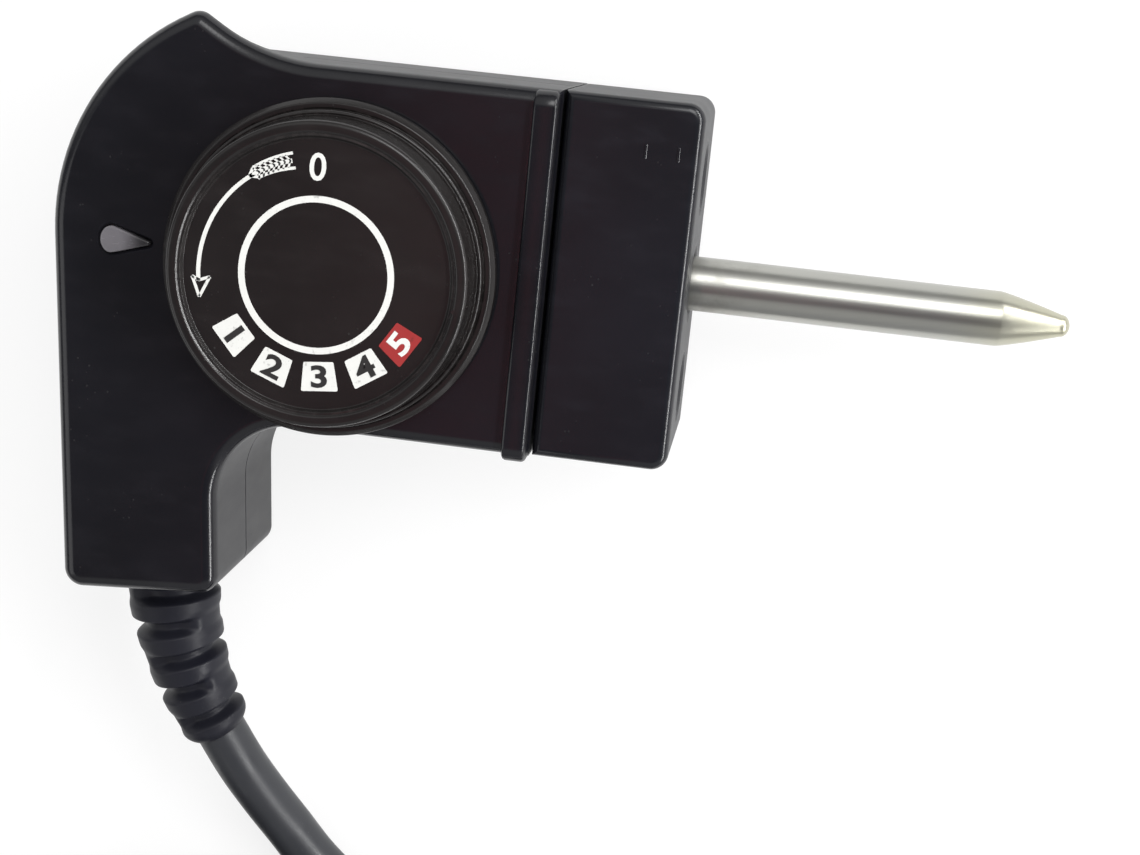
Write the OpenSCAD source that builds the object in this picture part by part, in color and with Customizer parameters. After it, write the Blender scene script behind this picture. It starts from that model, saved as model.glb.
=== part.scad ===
// Griddle thermostat cord: a plug-in probe thermostat with a temperature dial on a mains lead.
// Millimetres. It lies on its back with the dial up: the dial's axis is Z, the probe points along +X,
// and the thumb ridge is on the +Y side. The origin is on the back face, under the dial's axis.

/* [Housing] */
// Thickness of the closed housing
body_t = 28.5; // [28:0.5:31]
// Height at which the two covers part, which is also the height of the probe and the lead
split_z = 14; // [13.5:0.5:14.5]
// Wall of both covers
wall = 2; // [1.8:0.1:2.2]
// Distance from the dial's axis to the straight top edge
above_axis = 24.6; // [24:0.2:27]
// Distance from the dial's axis to the underside
below_axis = 21; // [20.6:0.2:23]
// Distance from the dial's axis to the parting line at the nose
nose_start = 26.6; // [26.4:0.2:30]
// Rounding of the front edges
front_edge_r = 1.8; // [1:0.2:1.8]
// Rounding of the back edges
back_edge_r = 1.2; // [0.6:0.2:1.6]
// Width of the raised band beside the nose
collar_w = 3; // [2.4:0.1:4]
// How far the band stands proud
collar_h = 0.8; // [0.4:0.1:1.2]

/* [Thumb ridge] */
// Height of the ridge's peak above the top edge
ridge_rise = 5.1; // [4:0.1:5.4]
// Distance of the peak behind the dial's axis
ridge_back = 18.8; // [17:0.2:19.4]
// Slope of the ridge on the dial's side, in degrees
ridge_slope = 31; // [26:1:36]
// Fall of the shoulder behind the peak, in degrees
shoulder_fall = 28; // [26:0.5:30]
// Radius of the shoulder
shoulder_r = 30; // [26:0.5:30.5]
// Radius where the ridge runs out into the top edge
ridge_blend_r = 24; // [16:1:26]
// Radius of the peak
peak_r = 2.1; // [2:0.1:2.4]

/* [Grip] */
// Distance of the grip's centre line behind the dial's axis, at the height of the axis
grip_back = 25.7; // [25.4:0.1:26.2]
// Lean of the grip, in degrees
grip_lean = 4.3; // [3:0.1:5]
// Width of the grip
grip_w = 20.6; // [20.2:0.1:22]
// Length of the grip below the height of the dial's axis
grip_len = 45.3; // [45:0.5:50]
// Radius between the grip and the underside
inner_fillet_r = 10; // [6:0.5:11]
// Radius of the grip's corners
grip_corner_r = 2.5; // [2.4:0.1:3]

/* [Connector nose] */
// Length of the nose in front of the parting line
nose_len = 17.4; // [17:0.2:20]
// Height of the nose's lower face above the table
nose_low = 1; // [0.6:0.1:1.4]
// Thickness of the nose
nose_t = 26; // [25.6:0.2:26.4]
// Radius of the nose's outer corners
nose_corner_r = 2.2; // [1.8:0.1:3]
// Rounding of the nose's long edges
nose_edge_r = 1.2; // [0.6:0.1:1.4]
// Offset of the probe from the dial's axis
probe_y = 1.3; // [1:0.1:2]
// Distance of each contact socket from the probe
socket_pitch = 13.5; // [13.2:0.1:13.8]
// Radius of the socket's bore
socket_bore_r = 3.1; // [3:0.05:3.15]
// Length of the socket's bore
socket_len = 12.6; // [12:0.2:12.8]

/* [Probe] */
// Radius of the probe
probe_r = 3.5; // [3.4:0.05:3.5]
// Length of the probe in front of the nose
probe_reach = 48; // [40:1:60]
// Length of the pointed tip
probe_tip_len = 9; // [7:0.2:11]
// Radius of the blunt end of the tip
probe_nib_r = 1.65; // [1.2:0.05:1.8]
// Wall of the probe's tube
probe_wall = 0.9; // [0.8:0.1:1.1]
// Radius of the expansion rod inside
rod_r = 1.25; // [1.1:0.05:1.3]

/* [Dial] */
// Radius of the dial's skirt
skirt_r = 20.9; // [20.7:0.1:21]
// Radius of the dial's top
knob_r = 18.5; // [18.3:0.1:18.7]
// Height of the dial above the housing
knob_h = 8.3; // [8:0.1:9]
// Radius of the sunk disc in the top
disc_r = 16.4; // [16:0.1:16.8]
// Depth of the sunk disc
disc_depth = 0.7; // [0.4:0.1:0.9]
// Middle radius of the printed ring
ring_r = 9.17; // [8.8:0.1:9.6]
// Width of the printed ring's line
ring_w = 0.85; // [0.5:0.05:1]
// Middle radius of the numbered fields
field_r = 12.55; // [12.4:0.05:13]
// Height of the numbered fields
field_h = 3.4; // [2.8:0.1:3.6]
// Angle of the first numbered field
field_first = -138.5; // [-142:0.5:-135]
// Angle from one numbered field to the next
field_step = 26.7; // [25:0.1:28]
// Number of numbered fields
field_count = 5; // [4:1:5]
// Middle radius of the arrow's arc
arrow_r = 14.2; // [14:0.1:14.4]

/* [Lead] */
// Diameter of the mains lead
cord_d = 7; // [6.8:0.1:7.3]
// Length of the bend protector outside the grip
relief_len = 25.2; // [24:0.2:28]
// Radius of its first rib
relief_r = 6.6; // [6:0.1:7]
// Number of its ribs
relief_ribs = 6; // [4:1:7]
// Bend of the bend protector, in degrees
relief_bend = 28; // [15:0.5:30]
// Number of full turns in each layer of the coil
layer_turns = 2; // [2:1:3]
// Outer turn of the coil, at its centre line
coil_r = 46.6; // [46.6:0.2:50]
// Gap between neighbouring turns
turn_gap = 0.6; // [0.5:0.1:1]
// Radius of the wall plug's body
plug_r = 18.6; // [18:0.1:19]
// Height of the wall plug's body
plug_h = 24; // [22:0.5:28]
// Diameter of each plug pin
plug_pin_d = 4.8; // [4:0.1:4.8]
// Distance between the plug pins
plug_pin_pitch = 19; // [17:0.5:19]
// Free length of each plug pin
plug_pin_len = 19; // [17:0.5:21]

/* [Hidden] */

// Smoothness of round parts, and the largest turn between two points of a rounded outline
$fn = 64;
arc_step = 9;
edge_steps = 4;

// Clearances and the overrun of a cut
over = 1;
seam = 0.3;
slip = 0.15;
snug = 0.02;
run_fit = 0.05;
loose = 0.2;

// Covers: inside heights, screw bosses and seats; the band ends just before the seam and the top edge
collar_back = 0.3;
collar_short = 0.2;
roof_z = body_t - wall;
boss_r = 2.8;
back_boss_r = 4.1;
back_boss_h = 3;
screw_r = 1.45;
screw_way_r = 1.65;
screw_head_r = 2.8;
screw_head_h = 1.9;
screw_sink = 0.3;
screw_bite = 9;
tip_run = 1.5;
screw_inset = 4;
screw_spots = [[-25.7, 15], [14, 19.2], [2, -16.8], [-28.6, -21.5]];
seat_r = 2.6;

// Nose: neck and flange that the covers trap, hollow core and its sleeves
nose_x = nose_start + seam;
nose_end = nose_start + nose_len;
neck_inset = 1.5;
neck_low = 5.5;
neck_high = 22.5;
neck_wall = 1.6;
flange_t = 2.6;
flange_gap = 0.3;
flange_low = 2.4;
flange_high = 26.1;
core_end = 3.4;
sleeve_r = 5.6;
sleeve_back = 12.4;
socket_wall = 0.9;
socket_way_gap = 0.3;
socket_lip = 1.8;
tail_r = 1.6;
tail_len = 6.5;
crimp_r = 2.1;
crimp_len = 3;
slit_w = 0.8;
slit_len = 8;
probe_recess_r = 4.9;
probe_recess = 1;

// Thermostat frame and the leaf stack, measured from the dial's axis
frame_t = 1.5;
frame_x = 17.6;
frame_low = 3.5;
frame_high = 21.5;
frame_back = 10;
frame_top_back = 9;
frame_half_w = 8;
frame_up = 11;
stack_low = 18.3;
stack_in = 11;
stack_y = 14.6;
stack_half_h = 4;
tab_half_h = 5;
leaf_t = 0.6;
leaf_gap = 2.4;
leaf_x = 11;
leaf_half_h = 3.5;
leaf_up = 10.5;
hinge_y = 11.05;
leaf_root_gap = 0.15;
washer_t = 2;
contact_x = leaf_x + leaf_t + leaf_gap;
stack_screw_r = 1.5;
stack_head_r = 2.8;
stack_head_t = 1.6;
tag_in = 13.5;
tag_out = 17.5;
tag_len = 4.5;
contact_y = 7;
contact_r = 1.6;
contact_t = 0.85;
earth_rivet_r = 2;
earth_rivet_h = 1.2;
earth_rivet_x = -7;
earth_rivet_y = -2;

// Ferrule, expansion rod and the insulating buttons
ferrule_r = 4;
ferrule_flange_r = 6.5;
ferrule_flange_t = 2.5;
ferrule_back = 1;
rod_end_gap = 0.4;
rod_stop = 8.6;
button_r = 1.3;
button_gap = 0.1;
button_len = 1.1;
tip_bulge = 1.15;
nib_len = 1.1;
rear_step = 0.2;
probe_rear_r = probe_r - rear_step;
tip_steps = 5;
rod_from = contact_x + leaf_t + button_len + button_gap;

// Spindle, cam and bush
spindle_r = 3;
spindle_top = 2.4;
spindle_head_r = 4.2;
spindle_head_t = 1.5;
cam_low = 12;
cam_t = 4;
cam_r = 6.9;
cam_rise = 0.0023;
cam_from = -88;
cam_to = 150;
cam_hub_r = 4.6;
bush_r = 5;
bush_flange_r = 7;
bush_flange_t = 1.5;
bush_stand = 1.9;
bush_boss_r = 8;
nut_r = 7.5;
nut_t = 2.1;

// Dial: profile of the turned shape, measured from the housing's face
knob_gap = 0.4;
skirt_h = 1.4;
skirt_bevel = 0.6;
step_r = 19.5;
step_h = 1.2;
step_bevel = 0.3;
knob_draft = 0.4;
rim_round = 0.5;
rim_slope = 0.3;
knob_wall = 1.7;
knob_shell = 1.8;
hub_r = 5.8;
hub_gap = 0.3;
spindle_flat_y = 2.25;
print_t = 0.12;
field_half_angle = 9;
arrow_from_angle = 109;
arrow_to_angle = 188;
arrow_w = 0.75;
arrow_head_angle = 8;
arrow_head_w = 2.3;
arrow_tail_angle = 16;
arrow_tail_w = 1.3;

// Pointer lens and the lamp under it
lens_x = 29.9;
lens_tip_x = 22.4;
lens_half_w = 1.9;
lens_y = 0.4;
lens_round = 1.2;
lens_tip_round = 0.3;
lens_proud = 0.35;
lens_flange = 1.3;
lens_flange_t = 1.2;
lamp_x = 26.5;
lamp_z = 21.9;
lamp_r = 2.3;
lamp_half = 6.5;
lamp_end_r = 1.6;
lamp_end_len = 1.2;
lamp_rib_in = 4.2;
lamp_rib_t = 1.2;
lamp_rib_half = 3.4;
lamp_rib_low = 20.2;
resistor_r = 1.2;
resistor_from = 9;
resistor_len = 6.5;
thin_lead_r = 0.5;

// Lead inside the grip: clamp, sheath and flange of the bend protector, along the grip's centre line
sheath_in = 9.3;
sheath_rest = 36;
sheath_from = grip_len - sheath_in;
relief_flange_r = 7;
relief_flange_t = 2.3;
relief_neck_r = 5.3;
relief_core_r = 4.7;
relief_end_r = 4.4;
relief_end_core_r = 4.1;
relief_roll = 30;
relief_sides = 8;
rib_share = 0.62;
clamp_in = 8.5;
clamp_from = grip_len - clamp_in;
clamp_len = 3.6;
clamp_half_w = 7.9;
clamp_t = 2.6;
clamp_gap = 0.2;
clamp_boss_r = 2;
clamp_boss_u = 6.1;
clamp_screw_r = 1.2;
clamp_head_r = 2.1;
clamp_head_t = 1.5;
clamp_bite = 7;

// Coil, tie and wall plug
tie_under = 0.8;
tie_t = 0.6;
tie_w = 8;
tie_gap = 0.15;
tie_angle = 20;
tie_tail = 9;
coil_x = 45;
coil_top = 101.4;
rings_per_turn = 24;
coil_sides = 6;
cord_sides = 8;
plug_x = -19;
plug_relief_len = 24;
plug_relief_r = 6.4;
plug_relief_end_r = 4.5;
plug_relief_sink = 2;
plug_cord_z = 8;
plug_y = -115.6;
plug_face_in = 2.6;
plug_flat = 17.2;
plug_edge = 1.4;
plug_pin_sink = 12;
plug_pin_round = 1.2;
plug_pin_root_r = 2;
clip_w = 6;
clip_t = 1;
clip_from = 9;
earth_hole_r = 2.6;
earth_hole_in = 10.8;
earth_hole_deep = 14;
relief_groove = 0.7;

// Colours
black = [0.11, 0.11, 0.12];
dark = [0.14, 0.14, 0.16];
brownish = [0.16, 0.14, 0.13];
white = [0.92, 0.92, 0.9];
red = [0.72, 0.16, 0.14];
steel = [0.74, 0.74, 0.71];
zinc = [0.7, 0.71, 0.73];
brass = [0.8, 0.66, 0.35];
silver = [0.85, 0.85, 0.86];
ceramic = [0.9, 0.88, 0.82];
smoke = [0.5, 0.49, 0.52];

// Routes that are chosen by hand
lead_points = [[-8.7, -80.5, 7.3], [-5.3, -85.5, 5.4], [-1.4, -90.5, 4.3], [4, -95.2, 3.7],
    [11.5, -98.9, 3.6], [20.5, -101, 3.8]];
tail_points = [[22, -194.2, 9.4], [12, -193.6, 6.6], [1, -191.4, 4.4], [-9, -186.4, 3.7],
    [-15.6, -179, 4.6], [-18.5, -171, 6.6]];
line_points = [[-20.4, -29, 12.6], [-17, -23, 10.4],
    [-10, -16.4, 8], [-3, -11.6, 7.5], [3, -10.8, 7.5], [7, -13, 7.6], [9, -15.5, 7.8], [11, -15.5, 7.8]];
neutral_points = [[-22.4, -29, 17.4], [-19.4, -23, 19],
    [-15, -14, 19], [-13.6, -3, 18.2], [-12, 7.6, 17.6], [-5, 13.6, 17], [6, 15.2, 16], [14, 15, 14.6],
    [21, 14.8, 14], [23.1, 14.8, 14]];
earth_points = [[-23, -27, 10.4], [-18.6, -18, 8],
    [-15, -9, 7], [-12.4, -4.4, 6.4], [-9.3, -2.2, 6.2]];
load_points = [[14.65, -15.5, 20.4], [16.6, -15.5, 20.4], [18.8, -15, 21.2], [20.2, -14.4, 20],
    [20.6, -13.6, 18], [20.8, -12.6, 15.8], [21.6, -12.2, 14], [23.1, -12.2, 14]];
lamp_line_points = [[-26.5, -15.5, 21.9], [-26.5, -16.6, 21.9], [-24.4, -18.6, 21.6],
    [-14, -17, 20.6], [-3, -11.6, 20.4], [4, -11, 20.4], [9, -12.4, 20.9], [12.6, -14, 21], [14, -14,
        21]];
lamp_neutral_points = [[-26.5, 7.7, 21.9], [-26.5, 8.8, 21.9], [-24.6, 10.8, 21.4], [-15, 13.6, 20],
    [-3, 16.4, 18.6], [4.6, 16.2, 17.2]];

// Plain geometry
function unit(v) = v / norm(v);
function flat_heading(a) = [cos(a), sin(a)];
function meet(p, u, q, v) = p + u * ((q.x - p.x) * v.y - (q.y - p.y) * v.x) / (u.x * v.y - u.y * v.x);
function wrap(i, n) = (i + n) % n;
function rounded(rows) = [
    for (i = [0:len(rows) - 1])
        let (p = rows[i][0], r = rows[i][1])
        let (a = unit(rows[wrap(i - 1, len(rows))][0] - p), b = unit(rows[wrap(i + 1, len(rows))][0] - p))
        let (half = acos(a * b) / 2, c = p + unit(a + b) * r / sin(half), s = p + a * r / tan(half) - c)
        let (turn = (180 - 2 * half) * (a.x * b.y - a.y * b.x < 0 ? 1 : -1))
        let (from = atan2(s.y, s.x), steps = r == 0 ? 0 : ceil(abs(turn) / arc_step))
        for (k = [0:steps]) steps == 0 ? p : c + r * flat_heading(from + turn * k / steps)];
function inset(pts, d) = [
    for (i = [0:len(pts) - 1])
        let (a = unit(pts[i] - pts[wrap(i - 1, len(pts))]), b = unit(pts[wrap(i + 1, len(pts))] - pts[i]))
        let (m = [-a.y, a.x], n = [-b.y, b.x])
        pts[i] + d * (m + n) / (1 + m * n)];
function lift(pts, z) = [for (p = pts) [p.x, p.y, z]];
function below(pts, y) = [for (p = pts) [p.x, min(p.y, y)]];
function corners_only(pts) = [
    for (i = [0:len(pts) - 1])
        let (a = pts[wrap(i - 1, len(pts))], b = pts[wrap(i + 1, len(pts))])
        if (a.y != pts[i].y || b.y != pts[i].y) pts[i]];

// Triangles of a flat outline that turns inwards somewhere: its ears are cut off in turn
function side_of(a, b, p) = cross(b - a, p - a);
function in_ear(a, b, c, p) = p != a && p != b && p != c
    && side_of(a, b, p) >= 0 && side_of(b, c, p) >= 0 && side_of(c, a, p) >= 0;
function is_ear(pts, left, i) =
    let (n = len(left), a = pts[left[wrap(i - 1, n)]], b = pts[left[i]], c = pts[left[wrap(i + 1, n)]])
    side_of(a, b, c) > 0 && len([for (j = left) if (in_ear(a, b, c, pts[j])) j]) == 0;
function first_ear(pts, left, i = 0) = is_ear(pts, left, i) ? i : first_ear(pts, left, i + 1);
function ears(pts, left) =
    let (n = len(left))
    n == 3 ? [left] :
    let (i = first_ear(pts, left))
    concat([[for (k = [-1:1]) left[wrap(i + k, n)]]],
        ears(pts, concat([for (k = [2:n - 1]) left[wrap(i + k, n)]], [left[wrap(i + 1, n)]])));
function end_faces(ring, turns_in) =
    let (all = [for (k = [0:len(ring) - 1]) k])
    turns_in ? ears([for (p = ring) [p.x, p.y]], all) : [all];

// A solid through rings of equally many points, each ring counter-clockwise seen from the next one
module loft(rings, turns_in = false) {
    n = len(rings[0]);
    m = len(rings);
    polyhedron(points = [for (r = rings) each r],
        faces = concat(end_faces(rings[0], turns_in),
            [for (f = end_faces(rings[m - 1], turns_in))
                [for (k = [len(f) - 1:-1:0]) (m - 1) * n + f[k]]],
            [for (i = [0:m - 2], k = [0:n - 1]) [i * n + k, (i + 1) * n + k, (i + 1) * n + (k + 1) % n]],
            [for (i = [0:m - 2], k = [0:n - 1]) [i * n + k, (i + 1) * n + (k + 1) % n,
                i * n + (k + 1) % n]]));
}

// Rings round a route: the direction at each point, and a circle square to it
function heading(route, i) = unit(route[min(i + 1, len(route) - 1)] - route[max(i - 1, 0)]);
function circle_at(p, t, r, sides, up) =
    let (s = unit(cross(up, t)), u = cross(t, s))
    [for (k = [0:sides - 1]) p + r * (s * cos(360 * (k + 0.5) / sides) + u * sin(360 * (k
        + 0.5) / sides))];
module tube(route, r, sides, up) {
    loft([for (i = [0:len(route) - 1]) circle_at(route[i], heading(route, i), r, sides, up)]);
}

// Housing outline: nose end, top edge, ridge, shoulder, grip, inner fillet
lean_down = [sin(grip_lean), -cos(grip_lean)];
lean_side = [cos(grip_lean), sin(grip_lean)];
function grip_at(u, v) = [-grip_back, 0] + u * lean_side + v * lean_down;
peak = [-ridge_back, above_axis + ridge_rise];
ridge_foot = [-ridge_back + ridge_rise / tan(ridge_slope), above_axis];
shoulder = meet(peak, [-cos(shoulder_fall), -sin(shoulder_fall)], grip_at(-grip_w / 2, 0), lean_down);
inner_corner = meet([0, -below_axis], [1, 0], grip_at(grip_w / 2, 0), lean_down);
outline = rounded([[[nose_start, -below_axis], 0], [[nose_start, above_axis], 0],
    [ridge_foot, ridge_blend_r], [peak, peak_r], [shoulder, shoulder_r],
    [grip_at(-grip_w / 2, grip_len), grip_corner_r], [grip_at(grip_w / 2, grip_len), grip_corner_r],
    [inner_corner, inner_fillet_r]]);
plain_outline = below(outline, above_axis);
back_outline = corners_only(plain_outline);
room = inset(back_outline, wall);
function edge_in(r, k) = r * (1 - cos(90 * k / edge_steps));
function edge_up(r, k) = r * sin(90 * k / edge_steps);

// Pointer outline, a drop that points at the dial
lens_outline = rounded([[[-lens_tip_x, lens_y], lens_tip_round],
    [[-lens_x + lens_round, lens_y + lens_half_w], lens_round], [[-lens_x, lens_y], lens_half_w],
    [[-lens_x + lens_round, lens_y - lens_half_w], lens_round]]);

// Places along Z in the grip's own frame: x across the grip, z down its centre line
module in_grip(v) {
    translate([grip_at(0, v).x, grip_at(0, v).y, split_z]) rotate([90, 0, grip_lean]) children();
}

// Along +X from a given place
module along_x(x, y = probe_y, z = split_z) {
    translate([x, y, z]) rotate([0, 90, 0]) children();
}

module neck_way(gap) {
    translate([nose_start - wall - over, -below_axis + wall + neck_inset - gap, neck_low - gap])
        cube([wall + 2 * over + seam, above_axis + below_axis - 2 * (wall + neck_inset) + 2 * gap,
            neck_high - neck_low + 2 * gap]);
}

module front_cover() color(black) {
    difference() {
        union() {
            loft(concat([lift(plain_outline, split_z), lift(outline, body_t - front_edge_r)],
                [for (k = [1:edge_steps])
                    lift(inset(outline, edge_in(front_edge_r, k)),
                        body_t - front_edge_r + edge_up(front_edge_r, k))]), turns_in = true);
            translate([nose_start - collar_back - collar_w, -below_axis - collar_h,
                split_z + collar_back])
                cube([collar_w, above_axis + below_axis + collar_h - collar_short,
                    body_t + collar_h - split_z - collar_back]);
        }
        translate([0, 0, split_z - over])
            linear_extrude(roof_z - split_z + over) polygon(room);
        neck_way(slip);
        translate([0, 0, roof_z - over]) cylinder(r = bush_r + slip, h = wall + 2 * over);
        translate([0, 0, roof_z - over]) linear_extrude(wall + 2 * over) polygon(inset(lens_outline,
            -slip));
        relief_way();
    }
    difference() {
        for (s = screw_spots) translate([s.x, s.y, split_z]) cylinder(r = boss_r, h = roof_z - split_z);
        for (s = screw_spots) translate([s.x, s.y, split_z - over])
            cylinder(r = screw_r + snug, h = screw_bite + tip_run + over);
    }
    difference() {
        translate([0, 0, frame_high + frame_t]) cylinder(r = bush_boss_r,
            h = roof_z - frame_high - frame_t);
        translate([0, 0, frame_high]) cylinder(r = bush_r + slip, h = roof_z - frame_high + over);
    }
    for (side = [-1, 1]) lamp_rib(side);
}

module lamp_rib(side) {
    y = side * (lamp_rib_in + lamp_rib_t / 2) - lamp_rib_t / 2;
    difference() {
        translate([-lamp_x - lamp_rib_half, y, lamp_rib_low])
            cube([2 * lamp_rib_half, lamp_rib_t, roof_z - lamp_rib_low]);
        translate([-lamp_x, y - over, lamp_z]) rotate([-90, 0, 0])
            cylinder(r = lamp_r + slip, h = lamp_rib_t + 2 * over);
        translate([-lamp_x - lamp_r - slip, y - over, lamp_rib_low - over])
            cube([2 * (lamp_r + slip), lamp_rib_t + 2 * over, lamp_z - lamp_rib_low + over]);
    }
}

module back_cover() color(black) {
    difference() {
        mirror([0, 0, 1]) loft(concat([lift(back_outline, -split_z), lift(back_outline, -back_edge_r)],
            [for (k = [1:edge_steps])
                lift(inset(back_outline, edge_in(back_edge_r, k)), edge_up(back_edge_r,
                    k) - back_edge_r)]), turns_in = true);
        difference() {
            translate([0, 0, wall]) linear_extrude(split_z) polygon(room);
            for (s = screw_spots) translate([s.x, s.y, wall - over]) cylinder(r = boss_r,
                h = split_z - wall + over);
            for (s = screw_spots) translate([s.x, s.y, wall - over]) cylinder(r = back_boss_r,
                h = back_boss_h + over);
            for (x = [0, frame_x]) translate([x - frame_back / 2, 0, wall - over])
                cylinder(r = seat_r, h = frame_low - wall + over);
        }
        for (s = screw_spots) translate([s.x, s.y, -over]) cylinder(r = screw_way_r,
            h = split_z + 2 * over);
        for (s = screw_spots) translate([s.x, s.y, -over])
            cylinder(r = screw_head_r + loose, h = screw_head_h + screw_sink + over);
        neck_way(slip);
        relief_way();
    }
    for (u = [-1, 1]) clamp_boss(u);
}

// The clamp lies on the sheath, and its screws go into two bosses beside it
clamp_z = split_z + cord_d / 2 + clamp_gap;
clamp_mid = clamp_from + clamp_len / 2;
module clamp_boss(u) {
    difference() {
        translate([grip_at(u * clamp_boss_u, clamp_mid).x, grip_at(u * clamp_boss_u, clamp_mid).y,
            wall - over / 2])
            cylinder(r = clamp_boss_r, h = clamp_z - wall + over / 2);
        translate([grip_at(u * clamp_boss_u, clamp_mid).x, grip_at(u * clamp_boss_u, clamp_mid).y,
            clamp_z - clamp_bite - tip_run]) cylinder(r = clamp_screw_r + snug, h = split_z + clamp_bite);
    }
}

module relief_way() {
    in_grip(grip_len - wall - over) cylinder(r = relief_neck_r + slip, h = wall + 2 * over);
}

module connector_nose() color(dark) {
    block = rounded([[[nose_x, -below_axis], 0], [[nose_end, -below_axis], nose_corner_r],
        [[nose_end, above_axis], nose_corner_r], [[nose_x, above_axis], 0]]);
    high = nose_low + nose_t;
    flange_x = nose_start - wall - flange_gap - flange_t;
    difference() {
        union() {
            loft(concat([for (k = [edge_steps:-1:1])
                    lift(inset(block, edge_in(nose_edge_r, k)),
                        nose_low + nose_edge_r - edge_up(nose_edge_r, k))],
                [lift(block, nose_low + nose_edge_r), lift(block, high - nose_edge_r)],
                [for (k = [1:edge_steps])
                    lift(inset(block, edge_in(nose_edge_r, k)), high - nose_edge_r + edge_up(nose_edge_r,
                        k))]));
            translate([flange_x, -below_axis + wall + neck_inset, neck_low])
                cube([nose_x - flange_x + over, above_axis + below_axis - 2 * (wall + neck_inset),
                    neck_high - neck_low]);
            translate([flange_x, -below_axis + wall + loose, flange_low])
                cube([flange_t, above_axis + below_axis - 2 * (wall + loose), flange_high - flange_low]);
        }
        difference() {
            translate([flange_x - over, -below_axis + wall + neck_inset + neck_wall,
                neck_low + neck_wall])
                cube([nose_end - core_end - flange_x + over,
                    above_axis + below_axis - 2 * (wall + neck_inset + neck_wall),
                        neck_high - neck_low - 2 * neck_wall]);
            for (side = [-1, 0, 1]) along_x(nose_end - core_end - sleeve_back,
                probe_y + side * socket_pitch)
                cylinder(r = sleeve_r, h = sleeve_back + over);
        }
        along_x(flange_x - over) cylinder(r = probe_rear_r + loose, h = nose_end - flange_x + 2 * over);
        along_x(nose_end - probe_recess) cylinder(r = probe_recess_r, h = probe_recess + over);
        for (side = [-1, 1]) along_x(socket_x, probe_y + side * socket_pitch)
            cylinder(r = socket_bore_r + socket_wall + socket_way_gap, h = nose_end - socket_x + over);
        for (side = [-1, 1]) along_x(flange_x, probe_y + side * socket_pitch)
            cylinder(r = tail_r + socket_way_gap, h = socket_x - flange_x + over);
    }
}

// Each socket stands in its sleeve on a web, with its crimped tail behind
socket_x = nose_end - socket_lip - socket_len;
module contact_socket(side) color(brass) {
    r = socket_bore_r + socket_wall;
    difference() {
        union() {
            along_x(socket_x, probe_y + side * socket_pitch) cylinder(r = r, h = socket_len);
            along_x(socket_x - tail_len, probe_y + side * socket_pitch) cylinder(r = tail_r,
                h = tail_len);
            along_x(socket_x - tail_len, probe_y + side * socket_pitch) cylinder(r = crimp_r,
                h = crimp_len);
        }
        along_x(socket_x + socket_wall, probe_y + side * socket_pitch) cylinder(r = socket_bore_r,
            h = socket_len);
        translate([socket_x + socket_len - slit_len, probe_y + side * socket_pitch - slit_w / 2,
            split_z - r - over])
            cube([slit_len + over, slit_w, 2 * (r + over)]);
    }
}
module line_socket() contact_socket(-1);
module neutral_socket() contact_socket(1);

// The tube narrows to a blunt nib that ends in a quarter of an ellipse
probe_from = frame_x;
probe_to = nose_end + probe_reach;
module probe_sheath() color(steel) {
    straight = probe_to - probe_tip_len - probe_from;
    cone = probe_tip_len - nib_len;
    bore_end = straight + probe_tip_len - rod_stop;
    tip = [for (k = [0:tip_steps])
        [probe_r - (probe_r - probe_nib_r) * pow(k / tip_steps, tip_bulge),
            straight + cone * k / tip_steps]];
    nib = [for (k = [1:tip_steps - 1])
        [probe_nib_r * cos(90 * k / tip_steps), straight + cone + nib_len * sin(90 * k / tip_steps)]];
    along_x(probe_from) rotate_extrude()
        polygon(concat([[0, bore_end], [probe_r - probe_wall, bore_end], [probe_r - probe_wall, 0],
            [probe_rear_r, 0], [probe_rear_r, nose_end - probe_from], [probe_r, nose_end - probe_from]],
                tip, nib, [[0, straight + probe_tip_len]]));
}

module probe_ferrule() color(zinc) {
    difference() {
        union() {
            along_x(frame_x - ferrule_back) cylinder(r = ferrule_r, h = ferrule_back + frame_t);
            along_x(frame_x + frame_t) cylinder(r = ferrule_flange_r, h = ferrule_flange_t);
        }
        along_x(frame_x) cylinder(r = probe_rear_r + snug, h = frame_t + ferrule_flange_t + over);
        along_x(frame_x - ferrule_back - over) cylinder(r = rod_r + run_fit, h = ferrule_back + 2 * over);
    }
}

module push_rod() color(silver) {
    along_x(rod_from) cylinder(r = rod_r, h = probe_to - rod_stop - rod_end_gap - rod_from);
}
module rod_button() color(ceramic) {
    along_x(contact_x + leaf_t) cylinder(r = button_r, h = button_len);
}

// One bent strip: a wall across the probe, a floor and a roof, and a side tab for the leaf stack
module thermostat_frame() color(zinc) {
    difference() {
        union() {
            translate([frame_x, -frame_half_w, frame_low])
                cube([frame_t, frame_half_w + frame_up, frame_high + frame_t - frame_low]);
            translate([frame_x, -stack_low, split_z - tab_half_h])
                cube([frame_t, stack_low - frame_half_w, 2 * tab_half_h]);
            translate([-frame_back, -frame_half_w, frame_low])
                cube([frame_back + frame_x, 2 * frame_half_w, frame_t]);
            translate([-frame_top_back, -frame_half_w, frame_high])
                cube([frame_top_back + frame_x, 2 * frame_half_w, frame_t]);
            translate([earth_rivet_x, earth_rivet_y, frame_low + frame_t])
                cylinder(r = earth_rivet_r, h = earth_rivet_h);
        }
        along_x(frame_x - over) cylinder(r = ferrule_r + snug, h = frame_t + 2 * over);
        along_x(frame_x - over, -stack_y) cylinder(r = stack_screw_r + snug, h = frame_t + 2 * over);
        translate([0, 0, frame_high - over]) cylinder(r = bush_r + snug, h = frame_t + 2 * over);
    }
}

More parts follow.
